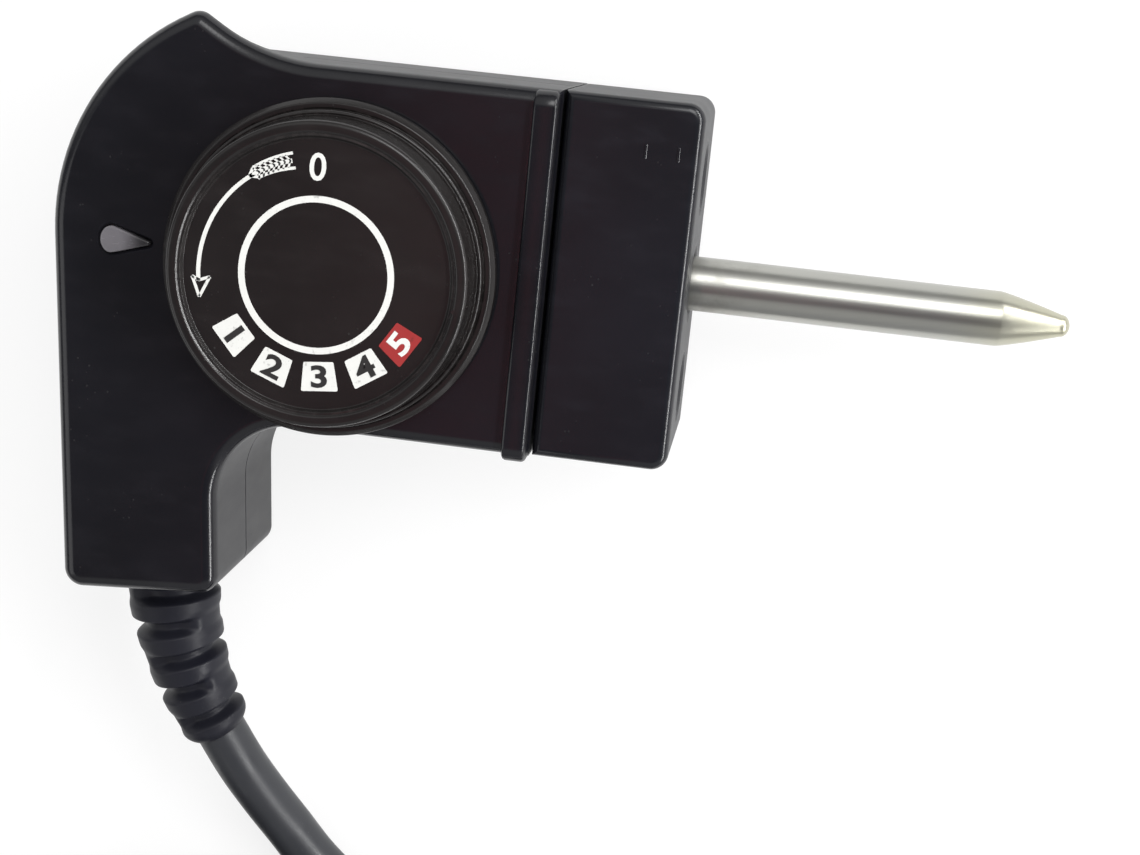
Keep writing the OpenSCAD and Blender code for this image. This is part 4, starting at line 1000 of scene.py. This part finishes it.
        ridge = loft("ridge", [lift(inset(section, depth * MM), z * MM) for depth, z in
                               ((0.15, 5.5), (0, 5.9), (0, 15.6), (0.15, 16))])
        return smooth(joined("wall_plug", [body, self.grip_ridges(r, ridge, plastic)]), 35)

    def plug_sleeve(self):
        """The ribbed sleeve at the plug's entry, wider towards the plug"""
        end, wide, pitch, ease = 4.5 * MM, 6.4 * MM, PLUG_SLEEVE / 6, HAIR / 2
        profile = [(0, 0, 0)]
        for i in range(5):
            here, low, high = end + (wide - end) * i / 4, i * pitch, (i + 1) * pitch
            profile += [(here - 0.7 * MM, low + ease, 0.15 * MM),
                        (here, low + pitch * 0.2, 0.5 * MM), (here, high - pitch * 0.2, 0.5 * MM),
                        (here - 0.7 * MM, high - ease, 0.15 * MM)]
        inside = PLUG_SLEEVE + 2 * MM
        profile += [(wide, PLUG_SLEEVE - pitch * 0.8, 0.4 * MM), (wide, inside, 0), (0, inside, 0)]
        place = at(*PLUG_ENTRY) @ Matrix.Rotation(-math.pi / 2, 4, "X")
        return turned("sleeve", profile, 72, place, math.radians(18))

    def grip_ridges(self, radius, ridge, plastic):
        """Upright ridges round the plug, away from the clips and the lead"""
        recipe = Recipe("ridge_ring", Shape=None, Radius=radius)
        angle, reach = recipe.attribute("angle"), recipe.input("Radius")
        place = recipe.add("ShaderNodeCombineXYZ", {0: angle.cosine() * reach + PLUG_AT[0],
                                                    1: angle.sine() * reach + PLUG_AT[1]})
        points = recipe.add("GeometryNodeSetPosition",
                            {"Geometry": recipe.input(), "Position": place})
        turn = recipe.add("ShaderNodeCombineXYZ", {2: angle})
        recipe.finish(recipe.copies(points, Rotation=turn), plastic)
        angles = [math.radians(a) for a in range(-180, 180, 6)
                  if min(abs(a), abs(a - 180), abs(a + 180)) > 14 and abs(a + 90) > 24]
        holder = points_object("angles", [(0, 0, 0)] * len(angles), angle=angles)
        ridges = recipe.baked("ridges", holder, Shape=ridge, Radius=radius)
        discard(ridge)
        return ridges

    def pins(self, sizes):
        """Two round pins with eased ends"""
        plated = plain_metal("plug_plating", (0.6, 0.6, 0.6), 0.2, (1, 1, 8), (0.32, 0.28, 0.22),
                             0.2)
        r, deep, neck = sizes.pin / 2, 12 * MM, 2 * MM
        end = deep + sizes.pin_length
        pin = [(0, 0, 0), (neck, 0, 0.2 * MM), (neck, deep, 0), (r, deep, 0.2 * MM),
               (r, end - 1.2 * MM, 1.6 * MM), (r - 1.1 * MM, end, 0.7 * MM), (0, end, 0)]
        x, y = PLUG_AT
        pieces = [dressed(turned("pin", pin, 64, at(x, y + side * sizes.pin_pitch / 2,
                                                    sizes.plug_height - deep)), plated)
                  for side in (-1, 1)]
        return smooth(joined("plug_prongs", pieces), 35, False)


class THERMOSTAT_OT_covers(Maker):
    """Makes the front cover with its thumb ridge and raised band, and the back cover"""
    bl_idname = "thermostat.covers"
    bl_label = "Covers"

    def make(self, settings):
        h, finish = settings.housing, settings.finish
        plastic = moulded_plastic("cover_plastic", tuple(finish.housing),
                                  finish.housing_roughness, wear=0.5, matt_walls=0.24)
        outline = housing_outline(h)
        plain = clipped(outline, h.above)
        hollow = inset(plain, h.wall)
        front = self.front(h, outline, plain, hollow)
        back = self.back(h, plain, hollow)
        for piece, node in ((front, "front_cover"), (back, "back_cover")):
            dressed(smooth(piece), plastic)
            installed(piece, "housing", "housing_plastic", node)

    def openings(self, h):
        """Ways for the nose's neck and for the bend protector"""
        margin = h.wall + 1.35 * MM
        neck = box_between("neck_way", (h.nose_start - h.wall - OVER, -h.below + margin, 5.35 * MM),
                           (h.nose_start + 1.3 * MM, h.above - margin, 22.65 * MM))
        start = in_grip(h.grip_length - h.wall - OVER, h.parting)
        return [neck, rod("lead_way", 5.45 * MM, 0, h.wall + 2 * MM, at(*start) @ OUT_OF_GRIP)]

    def front(self, h, outline, plain, hollow):
        """The shell from the parting upwards, with posts for the screws and the dial's bush"""
        level, top, groove = h.parting, h.thickness, h.groove
        rings = stack(plain, (groove, level), (0, level + groove), (0, level + 2.5 * groove))
        rings.append(lift(outline, top - h.front_edge))
        cover = loft("front_shell", rings + eased_top(outline, h.front_edge, top))
        combine(cover, [self.band(h)], "UNION")
        roof, bush = top - h.wall, 5.15 * MM
        narrow, wide = lens_outline(0.15 * MM), lens_outline(0.4 * MM)
        lens_way = [lift(narrow, roof - OVER), lift(narrow, top - 0.25 * MM), lift(wide, top),
                    lift(wide, top + OVER)]
        combine(cover, [loft("room", [lift(hollow, level - OVER), lift(hollow, roof)]),
                        rod("bush_way", bush, roof - OVER, top + OVER),
                        loft("lens_way", lens_way)] + self.openings(h))
        posts = [rod("post", 2.8 * MM, level + HAIR, roof + 0.5 * MM, at(x, y))
                 for x, y in SCREW_SPOTS]
        posts.append(rod("dial_post", 8 * MM, 23.02 * MM, roof + 0.5 * MM))
        combine(cover, posts, "UNION")
        ways = [rod("screw_way", 1.5 * MM, level - OVER, level + 10.5 * MM, at(x, y))
                for x, y in SCREW_SPOTS]
        return combine(cover, ways + [rod("dial_way", bush, 22 * MM, roof + OVER)])

    def band(self, h):
        """The raised band beside the nose, rounded along its edges"""
        right = h.nose_start - 0.3 * MM
        left = right - h.band_width
        shape = oblong((-h.below - h.band_rise, h.parting + 0.3 * MM),
                       (h.above - 0.2 * MM, h.thickness + h.band_rise),
                       (0.7 * MM, 0.7 * MM, 2 * MM, 2.2 * MM), math.radians(6))
        rings = [(left, 0.45), (left + 0.15 * MM, 0.15), (left + 0.45 * MM, 0),
                 (right - 0.55 * MM, 0), (right - 0.3 * MM, 0.06), (right - 0.12 * MM, 0.2),
                 (right - 0.02 * MM, 0.38), (right, 0.5)]
        return loft("band", [[Vector((x, p.x, p.y)) for p in inset(shape, depth * MM)]
                             for x, depth in rings])

    def back(self, h, plain, hollow):
        """The shell from the back face to the parting, with posts and sunk ways for the screws"""
        level, edge, groove = h.parting, h.back_edge, h.groove
        rings = eased_foot(plain, edge, 0)
        rings += stack(plain, (0, edge), (0, level - groove), (groove, level))
        cover = loft("back_shell", rings)
        room = loft("room", [lift(hollow, h.wall), lift(hollow, level + OVER)])
        combine(cover, [room] + self.openings(h))
        foot, wide, narrow, step = 1 * MM, 4.1 * MM, 2.8 * MM, 5 * MM
        post = [(0, foot), (wide, foot), (wide, step), (narrow, step), (narrow, level - HAIR),
                (0, level - HAIR)]
        posts = [lathe("post", post, 64, at(x, y)) for x, y in SCREW_SPOTS]
        posts += [rod("seat", 2.6 * MM, foot, 3.5 * MM, at(x * MM, 0)) for x in (-5, 12.6)]
        combine(cover, posts, "UNION")
        head, shank, seat = 3 * MM, 1.65 * MM, 2.2 * MM
        way = [(0, -OVER, 0), (3.5 * MM, -OVER, 0), (3.5 * MM, 0, 0), (head, 0.4 * MM, 0),
               (head, seat, 0), (shank, seat, 0), (shank, level + OVER, 0), (0, level + OVER, 0)]
        return combine(cover, [turned("screw_way", way, 64, at(x, y)) for x, y in SCREW_SPOTS])


class THERMOSTAT_OT_nose(Maker):
    """Makes the connector nose with its bores for the two contacts and the probe"""
    bl_idname = "thermostat.nose"
    bl_label = "Connector nose"
    CONTACT_PITCH = 13.5 * MM
    TICKS = ((37.2 * MM, 18.3 * MM), (41.2 * MM, 18.3 * MM))

    def make(self, settings):
        h, p, finish = settings.housing, settings.probe, settings.finish
        plastic = moulded_plastic("nose_plastic", tuple(finish.nose),
                                  finish.housing_roughness + 0.01, wear=0.5, matt_walls=0.24)
        back, front = h.nose_start + 0.3 * MM, h.nose_start + h.nose_length
        low, high, edge = 1 * MM, 27 * MM, h.nose_edge
        block = oblong((back, -h.below), (front, h.above), (0, h.nose_corner, h.nose_corner, 0))
        rings = eased_foot(block, edge, low) + stack(block, (0, low + edge), (0, high - edge))
        nose = loft("nose_shell", rings + eased_top(block, edge, high))
        flange, neck = h.nose_start - h.wall - 2.9 * MM, h.wall + 1.5 * MM
        play, wall = 0.2 * MM, 1.6 * MM
        combine(nose, [box_between("neck", (flange, -h.below + neck, 5.5 * MM),
                                   (back + OVER, h.above - neck, 22.5 * MM)),
                       box_between("flange", (flange, -h.below + h.wall + play, 2.4 * MM),
                                   (flange + 2.6 * MM, h.above - h.wall - play, 26.1 * MM))],
                "UNION")
        room = box_between("room", (flange - OVER, -h.below + neck + wall, 7.1 * MM),
                           (front - 3.4 * MM, h.above - neck - wall, 20.9 * MM))
        spots = [p.offset + side * self.CONTACT_PITCH for side in (-1, 0, 1)]
        combine(room, [rod("sleeve", 5.6 * MM, -OVER, 13.4 * MM,
                           along_x(front - 15.8 * MM, y, h.parting)) for y in spots])
        narrow, wide = 4.9 * MM, 5.4 * MM
        recess = [(0, -OVER, 0), (narrow, -OVER, 0), (narrow, 0.75 * MM, 0), (wide, 1.1 * MM, 0),
                  (wide, 2 * MM, 0), (0, 2 * MM, 0)]
        cuts = [room, rod("probe_way", 3.5 * MM, flange - OVER, front + OVER,
                          along_x(0, p.offset, h.parting), 96),
                turned("probe_recess", recess, 96, along_x(front - OVER, p.offset, h.parting))]
        bore, mouth = 4.3 * MM, 5 * MM
        socket = [(0, 0, 0), (bore, 0, 0), (bore, 14 * MM, 0), (mouth, 14.5 * MM, 0),
                  (mouth, 16 * MM, 0), (0, 16 * MM, 0)]
        for y in (spots[0], spots[2]):
            cuts.append(turned("socket_way", socket, 96, along_x(front - 14.4 * MM, y, h.parting)))
            cuts.append(rod("tail_way", 1.9 * MM, flange - OVER, front - 14 * MM,
                            along_x(0, y, h.parting)))
        combine(nose, cuts)
        combine(nose, [self.tick(x, y, high) for x, y in self.TICKS], "UNION")
        dressed(smooth(nose), plastic)
        installed(nose, "housing", "nose_plastic", "connector_nose")

    def tick(self, x, y, high):
        """A small raised dash"""
        shape = oblong((x - 0.15 * MM, y - 0.9 * MM), (x + 0.15 * MM, y + 0.9 * MM),
                       (0.12 * MM,) * 4, math.radians(30))
        return loft("tick", stack(shape, (0, high - 0.5 * MM), (0, high + 0.08 * MM),
                                  (0.06 * MM, high + 0.12 * MM)))


class THERMOSTAT_OT_probe(Maker):
    """Makes the probe's tube with its tapered tip"""
    bl_idname = "thermostat.probe"
    bl_label = "Probe"

    def make(self, settings):
        h, p, finish = settings.housing, settings.probe, settings.finish
        steel = drawn_tube("probe_steel", tuple(finish.steel), finish.probe_roughness,
                           (0.62, 0.6, 0.42))
        front = h.nose_start + h.nose_length
        back, end, nib = 17.6 * MM, front + p.reach, 1.1 * MM
        shoulder, cone, steps = end - p.tip, p.tip - nib, 24
        bore, floor, rear = 2.6 * MM, end - 8.6 * MM, p.radius - 0.2 * MM
        profile = [(0, floor), (bore, floor), (bore, back), (rear, back), (rear, front - 0.3 * MM),
                   (p.radius, front - 0.1 * MM), (p.radius, shoulder - 3 * MM),
                   (p.radius, shoulder)]
        profile += [(p.radius - (p.radius - p.blunt) * (k / steps) ** 1.15,
                     shoulder + cone * k / steps) for k in range(1, steps + 1)]
        profile += [(p.blunt * math.cos(math.pi / 2 * k / 10),
                     shoulder + cone + nib * math.sin(math.pi / 2 * k / 10)) for k in range(1, 10)]
        tube = lathe("probe_tube", profile + [(0, end)], 128, along_x(0, p.offset, h.parting))
        dressed(smooth(tube, 40, False), steel)
        installed(tube, "housing", "probe_steel", "probe_sheath")


class Print:
    """Thin raised shapes on the dial's disc, with places in millimetres and degrees"""

    def __init__(self, level, thick):
        self.level, self.thick = level, thick

    def spot(self, radius, angle):
        """A place on the disc"""
        return heading(math.radians(angle)) * radius * MM

    def flat(self, name, shape, ink):
        """A thin solid of an outline"""
        return dressed(loft(name, [lift(shape, self.level - HAIR),
                                   lift(shape, self.level + self.thick)]), ink)

    def ring(self, radius, width, ink):
        """A flat ring"""
        low, high, half = self.level - HAIR, self.level + self.thick, width / 2
        return dressed(lathe("ring", [(radius - half, low), (radius + half, low),
                                      (radius + half, high), (radius - half, high)], 192), ink)

    def field(self, radius, angle, ink):
        """A small four-sided field with its long sides along the radius, a little wider outside"""
        shape = rounded([((-2.3 * MM, -1.8 * MM), 0.2 * MM), ((2.3 * MM, -1.8 * MM), 0.2 * MM),
                         ((1.85 * MM, 1.8 * MM), 0.2 * MM), ((-1.85 * MM, 1.8 * MM), 0.2 * MM)],
                        math.radians(20))
        piece = self.flat("field", shape, ink)
        turn = Matrix.Rotation(math.radians(angle + 90), 4, "Z")
        piece.data.transform(at(*self.spot(radius, angle)) @ turn)
        return piece

    def digit(self, text, radius, angle, height, ink, upright=False):
        """A number, thicker in a field, with its top to the dial's middle unless upright"""
        depth = (self.thick * (1 if upright else 1.6) + HAIR) / 2
        fatter, tall, wide = (0.06, 1, 0.95) if upright else (0.13, 0.8, 1.3)
        curve = bpy.data.curves.new("number", "FONT")
        curve.body, curve.size, curve.extrude = text, height * 1.35 * MM, depth
        curve.offset = fatter * MM
        curve.align_x, curve.align_y, curve.resolution_u = "CENTER", "CENTER", 4
        holder = placed("number", curve)
        mesh = evaluated(holder, layers=False)
        bpy.data.objects.remove(holder)
        bpy.data.curves.remove(curve)
        xs, ys = [v.co.x for v in mesh.vertices], [v.co.y for v in mesh.vertices]
        mesh.transform(at(-(min(xs) + max(xs)) / 2, -(min(ys) + max(ys)) / 2))
        stretch = height * MM * tall / (max(ys) - min(ys))
        turn = Matrix.Rotation(0 if upright else math.radians(angle + 90), 4, "Z")
        place = Vector((*self.spot(radius, angle), self.level - HAIR + depth))
        mesh.transform(at(*place) @ turn @ Matrix.Diagonal((stretch * wide, stretch, 1, 1)))
        return dressed(placed("number", mesh), ink)

    def stroke(self, points, width, ink):
        """A line through points, with its width in millimetres"""
        left, right = [], []
        for i, point in enumerate(points):
            before, after = points[max(i - 1, 0)], points[min(i + 1, len(points) - 1)]
            along = (after - before).normalized()
            side = Vector((-along.y, along.x)) * (width * MM) / 2
            left.append(point + side)
            right.append(point - side)
        return self.flat("stroke", right + left[::-1], ink)

    def arc(self, r0, r1, a0, a1, steps):
        """Points from one radius and angle to another"""
        return [self.spot(r0 + (r1 - r0) * k / steps, a0 + (a1 - a0) * k / steps)
                for k in range(steps + 1)]

    def arrow(self, ink):
        """The turning arrow: a curved shaft, a feathered tail and a barbed head"""
        parts = [self.stroke(self.arc(13.9, 14.55, 106, 189, 28), 0.5, ink)]
        for shift in (-0.75, 0.75):
            edge = 14.1 + shift * 0.9
            parts.append(self.stroke(self.arc(13.9 + shift * 1.2, edge, 105, 125, 10)
                                     + self.arc(edge, 14.15, 125, 129, 4)[1:], 0.36, ink))
        for k in range(7):
            angle = 107.5 + k * 2.8
            barb = ((13.2, angle + 1.3), (13.95, angle - 0.7), (14.7, angle + 1.3))
            parts.append(self.stroke([self.spot(*end) for end in barb], 0.24, ink))
        head = [self.spot(*end) for end in ((14.75, 196.5), (13.1, 187.2), (14.45, 188.6),
                                            (15.3, 186.6), (14.75, 196.5))]
        return parts + [self.stroke([a, b], 0.36, ink) for a, b in zip(head, head[1:])]


class THERMOSTAT_OT_dial(Maker):
    """Makes the turned dial and the print on its disc"""
    bl_idname = "thermostat.dial"
    bl_label = "Dial"
    NOUGHT = (13.0, 93)
    FIELDS = ((12.6, -139), (12.5, -111), (12.3, -84), (12.5, -57), (12.9, -33))

    def make(self, settings):
        d, h, finish = settings.dial, settings.housing, settings.finish
        self.knob(d, h, finish)
        self.print(d, h, finish)

    def knob(self, d, h, finish):
        """The dial: skirt, step, rim with a bead, sunk disc, hub and a glint on the rim"""
        plastic = moulded_plastic("dial_plastic", tuple(finish.dial), 0.24, 0.000025, 3000, 0.6)
        base, top = h.thickness + 0.4 * MM, h.thickness + d.height
        disc, under = top - d.sunk, top - d.sunk - 1.7 * MM
        inner, step, crisp = d.top - 1.8 * MM, 19.5 * MM, 0.08 * MM
        profile = [(inner, base, 0), (d.skirt, base, 0.25 * MM),
                   (d.skirt, base + 1.3 * MM, 0.3 * MM),
                   (d.skirt - 0.6 * MM, base + 2 * MM, 0.25 * MM),
                   (step + 0.25 * MM, base + 2 * MM, 0.1 * MM),
                   (step, base + 1.8 * MM, 0.05 * MM), (step, base + 3.2 * MM, 0.3 * MM),
                   (step - 0.35 * MM, base + 3.25 * MM, crisp),
                   (d.top + 0.4 * MM, base + 3.05 * MM, crisp), (d.top, top, 0.6 * MM),
                   (d.disc + 0.85 * MM, top, 0.3 * MM),
                   (d.disc + 0.6 * MM, top - 0.25 * MM, crisp),
                   (d.disc + 0.3 * MM, top - 0.2 * MM, crisp),
                   (d.disc, disc, 0.15 * MM), (0, disc, 0), (0, under, 0),
                   (inner, under, 0.8 * MM)]
        knob = turned("dial", profile, 192, step=math.radians(12))
        bore, boss, foot, root = 3.02 * MM, 5.8 * MM, h.thickness + 2.2 * MM, under + 0.3 * MM
        hub = lathe("hub", [(bore, root), (bore, foot), (boss, foot), (boss, root)], 64)
        mark = [Vector(p) * MM for p in ((16.75, -2.35), (17.35, -2.85), (17.35, -1.85))]
        glint = loft("glint", [lift(mark, z) for z in (top - 0.3 * MM, top + 0.06 * MM)])
        combine(knob, [hub, glint], "UNION")
        dressed(smooth(knob, 28), plastic)
        installed(knob, "dial", "dial_plastic", "dial_knob")

    def print(self, d, h, finish):
        """Ring, arrow, a nought and five numbered fields"""
        under = tuple(finish.dial)
        white = printed_ink("white_ink", tuple(finish.ink), under)
        red = printed_ink("red_ink", tuple(finish.red), under)
        dark = printed_ink("dark_ink", (0.02, 0.018, 0.018), under)
        ink = Print(h.thickness + d.height - d.sunk, d.ink)
        pieces = [ink.ring(d.ring, d.line, white),
                  ink.digit("0", *self.NOUGHT, 3.35, white, upright=True)]
        for i, spot in enumerate(self.FIELDS, 1):
            last = i == len(self.FIELDS)
            pieces.append(ink.field(*spot, red if last else white))
            pieces.append(ink.digit(str(i), *spot, 3.5, white if last else dark))
        markings = smooth(joined("dial_markings", pieces + ink.arrow(white)), 30, False)
        installed(markings, "dial", "print_white", "dial_print")


class THERMOSTAT_OT_pointer(Maker):
    """Makes the drop-shaped pointer lens over the lamp"""
    bl_idname = "thermostat.pointer"
    bl_label = "Pointer lens"

    def make(self, settings):
        h = settings.housing
        lens = smoke_lens("pointer_smoke", tuple(settings.finish.lens))
        roof, proud, lip = h.thickness - h.wall, h.thickness + 0.1 * MM, 1.3 * MM
        rings = [lift(lens_outline(lip), roof - 1.2 * MM), lift(lens_outline(lip), roof - HAIR),
                 lift(lens_outline(), roof - HAIR), lift(lens_outline(), proud)]
        rings += [lift(lens_outline(-depth * MM), proud + rise * MM) for depth, rise in
                  ((0.02, 0.1), (0.07, 0.17), (0.15, 0.22), (0.25, 0.25))]
        piece = dressed(smooth(loft("dial_pointer", rings), 40), lens)
        installed(piece, "housing", "lens_smoke", "pointer_lens")


class THERMOSTAT_OT_screws(Maker):
    """Makes the four cross-head screws that close the housing"""
    bl_idname = "thermostat.screws"
    bl_label = "Housing screws"

    def make(self, settings):
        zinc = plain_metal("screw_zinc", (0.42, 0.42, 0.4), 0.3, (6, 6, 1), (0.2, 0.16, 0.12), 0.5)
        shank, end = 1.45 * MM, 23 * MM
        screw = turned("screw", [
            (0, 0.3 * MM, 0), (1.9 * MM, 0.35 * MM, 0.6 * MM), (2.75 * MM, 1.2 * MM, 0.5 * MM),
            (2.8 * MM, 2.15 * MM, 0.1 * MM), (shank, 2.2 * MM, 0.2 * MM), (shank, end, 0.4 * MM),
            (0, end, 0)], 48)
        slots = []
        for turn in (0, math.pi / 2):
            slot = loft("slot", [
                lift([Vector(p) * MM for p in ((-w, -t), (w, -t), (w, t), (-w, t))], z * MM)
                for w, t, z in ((1.7, 0.42, 0), (1.55, 0.36, 0.5), (0.5, 0.2, 1.8))])
            slot.data.transform(Matrix.Rotation(turn, 4, "Z"))
            slots.append(slot)
        dressed(smooth(combine(screw, slots), 35, False), zinc)
        recipe = Recipe("screw_row", Shape=None)
        recipe.finish(recipe.copies(recipe.input()), zinc)
        spots = points_object("screw_spots", [(x, y, 0) for x, y in SCREW_SPOTS])
        screws = recipe.baked("case_screws", spots, Shape=screw)
        discard(screw)
        installed(screws, "housing", "zinc_plate", "housing_screws")


class THERMOSTAT_OT_inside(Maker):
    """Gives the parts inside the housing and the contacts their finishes"""
    bl_idname = "thermostat.inside"
    bl_label = "Inner parts"
    REPLACED = ("front_cover", "back_cover", "connector_nose", "probe_sheath", "dial_knob",
                "dial_print", "pointer_lens", "housing_screws", "strain_relief", "cord_lead",
                "cord_coil", "cord_tail", "coil_tie", "plug_body", "plug_pins")

    def finishes(self, rubber):
        """Each finish with the nodes that wear it"""
        return (
            (plain_metal("zinc_plate", (0.55, 0.56, 0.57), 0.34, (1, 9, 1)),
             "thermostat_frame", "probe_ferrule", "spindle", "bush_nut", "stack_screw",
             "clamp_screws", "lamp_leads"),
            (plain_metal("brass", (0.62, 0.43, 0.16), 0.28, (8, 1, 1), (0.3, 0.16, 0.07)),
             "line_socket", "neutral_socket", "set_leaf", "contact_leaf", "set_terminal",
             "contact_terminal", "spindle_bush"),
            (plain_metal("contact_silver", (0.75, 0.75, 0.74), 0.22, (1, 1, 1), (0.3, 0.27, 0.25)),
             "set_contact", "moving_contact"),
            (plain_metal("rod_alloy", (0.62, 0.62, 0.62), 0.24, (1, 30, 30)), "push_rod"),
            (plain_metal("clip_nickel", (0.6, 0.6, 0.59), 0.25, (1, 1, 9)), "plug_earth_clips"),
            (fired_ceramic("ceramic", (0.72, 0.68, 0.58)),
             "leaf_insulators", "cam_button", "rod_button", "control_cam", "cord_clamp"),
            (lamp_glass("lamp_glass"), "neon_lamp"),
            (core_insulation("resistor_lacquer", (0.36, 0.1, 0.06)), "lamp_resistor"),
            (core_insulation("brown_core", (0.12, 0.045, 0.02)), "line_wire", "load_wire"),
            (core_insulation("blue_core", (0.03, 0.1, 0.36)), "neutral_wire"),
            (core_insulation("green_core", (0.1, 0.32, 0.04), (0.75, 0.62, 0.04)), "earth_wire"),
            (lead_rubber("sheath_rubber", rubber), "sheath_end"))

    def make(self, settings):
        missing = set(NODES) - set(self.REPLACED)
        for material, *names in self.finishes(tuple(settings.finish.rubber)):
            missing -= set(names)
            for name in names:
                slots = NODES[name].data.materials
                if not slots:
                    slots.append(material)
                for i in range(len(slots)):
                    slots[i] = material
        if missing:
            raise RuntimeError(f"nodes without a finish: {sorted(missing)}")


class THERMOSTAT_OT_stage(Maker):
    """Sets the pale floor, the surroundings and the soft lamps"""
    bl_idname = "thermostat.stage"
    bl_label = "Stage and lamps"
    SEEN = ("Is Camera Ray", "Is Glossy Ray", "Is Transmission Ray")

    def make(self, settings):
        half, low = 3, -0.3 * MM
        corners = [(-half, -half, low), (half, -half, low), (half, half, low), (-half, half, low)]
        floor = new_object("floor", corners, [(0, 1, 2, 3)], closed=False)
        floor.data.materials.append(self.floor_material())
        self.surroundings()
        self.lamp("key_lamp", (0.12, 0.3, 0.5), (0.26, 0.26), 1.0)
        self.lamp("strip_lamp", (0.58, 0.08, 0.36), (1.25, 0.05), 6.0)
        self.lamp("fill_lamp", (-0.5, -0.2, 0.45), (0.4, 0.4), 0.6)

    def floor_material(self):
        """White paper that takes shadows and glows a little where it is seen"""
        f = Finish("floor_paper")
        white = f.mix(f.noise(400, 3, 1), (0.8, 0.8, 0.8), (0.83, 0.83, 0.83))
        paper = f.add("ShaderNodeBsdfDiffuse", {"Color": white})
        glow = f.add("ShaderNodeEmission", {"Color": (1, 1, 1, 1), "Strength": 1.12})
        f.end("ShaderNodeOutputMaterial", f.add("ShaderNodeMixShader", {
            0: f.rays(*self.SEEN) * 0.68, 1: paper, 2: glow}))
        return f.material

    def surroundings(self):
        """A white room, which gloss sees as dim, with a reddish strip overhead"""
        world = bpy.data.worlds.new("studio")
        world.use_nodes = True
        world.node_tree.nodes.clear()
        graph = Graph(world.node_tree)
        direction = {"Vector": graph.add("ShaderNodeTexCoord")}
        x, y, z = (graph.add("ShaderNodeSeparateXYZ", direction, axis) for axis in "XYZ")
        room = graph.mix((x + 1) * 0.5, (0.2, 0.2, 0.22), (0.5, 0.5, 0.52))
        room = graph.mix(y.rise(0.55, 0.85), room, (0.15, 0.15, 0.15))
        strip = x.rise(-0.18, -0.165) * (1 - x.rise(-0.14, -0.128))
        overhead = graph.mix(strip, (0.1, 0.1, 0.115), (1.0, 0.28, 0.33))
        overhead = graph.mix(y.rise(0.02, 0.25), overhead, (0.7, 0.7, 0.7))
        overhead = graph.mix((0 - y).rise(0.4, 0.6), overhead, (0.5, 0.5, 0.5))
        gloss = graph.mix(z.rise(0.05, 0.62), room, overhead)
        seen = graph.mix(graph.rays("Is Glossy Ray"), (1, 1, 1), gloss)
        shown = graph.add("ShaderNodeBackground", {"Color": seen, "Strength": 1.0})
        ambient = graph.add("ShaderNodeBackground", {"Color": (1, 1, 1, 1), "Strength": 0.55})
        mixed = graph.add("ShaderNodeMixShader", {0: graph.rays(*self.SEEN), 1: ambient, 2: shown})
        graph.end("ShaderNodeOutputWorld", mixed)
        bpy.context.scene.world = world
        bpy.context.scene.view_settings.view_transform = "Standard"

    def lamp(self, name, place, size, power):
        """A rectangular lamp that points at the object"""
        data = bpy.data.lights.new(name, "AREA")
        data.shape, data.energy = "RECTANGLE", power
        data.size, data.size_y = size
        aim = Vector((0.01, -0.01, 0.02)) - Vector(place)
        turn = aim.to_track_quat("-Z", "Y").to_matrix().to_4x4()
        placed(name, data).matrix_world = at(*place) @ turn


class THERMOSTAT_PT_panel(bpy.types.Panel):
    """Lists the settings and the operators"""
    bl_idname = "THERMOSTAT_PT_panel"
    bl_label = "Griddle Thermostat"
    bl_space_type = "VIEW_3D"
    bl_region_type = "UI"
    bl_category = "Thermostat"

    def draw(self, context):
        settings = context.scene.thermostat
        for group in settings.__annotations__:
            box = self.layout.box()
            box.label(text=group.capitalize())
            values = getattr(settings, group)
            for name in values.__annotations__:
                box.prop(values, name, text=name.replace("_", " ").capitalize())
        for maker in MAKERS:
            self.layout.operator(maker.bl_idname)


GROUPS = (HousingSizes, ProbeSizes, DialSizes, LeadSizes, FinishSettings, ThermostatSettings)
MAKERS = (THERMOSTAT_OT_camera, THERMOSTAT_OT_lead, THERMOSTAT_OT_covers, THERMOSTAT_OT_nose,
          THERMOSTAT_OT_probe, THERMOSTAT_OT_dial, THERMOSTAT_OT_pointer, THERMOSTAT_OT_screws,
          THERMOSTAT_OT_inside, THERMOSTAT_OT_stage)
CLASSES = GROUPS + MAKERS + (THERMOSTAT_PT_panel,)


def register():
    for kind in CLASSES:
        bpy.utils.register_class(kind)
    bpy.types.Scene.thermostat = bpy.props.PointerProperty(type=ThermostatSettings)


def unregister():
    del bpy.types.Scene.thermostat
    for kind in reversed(CLASSES):
        bpy.utils.unregister_class(kind)


def main():
    """Makes the whole object in order"""
    register()
    bpy.ops.thermostat.camera()
    bpy.ops.thermostat.lead()
    bpy.ops.thermostat.covers()
    bpy.ops.thermostat.nose()
    bpy.ops.thermostat.probe()
    bpy.ops.thermostat.dial()
    bpy.ops.thermostat.pointer()
    bpy.ops.thermostat.screws()
    bpy.ops.thermostat.inside()
    bpy.ops.thermostat.stage()


if __name__ == "__main__":
    main()
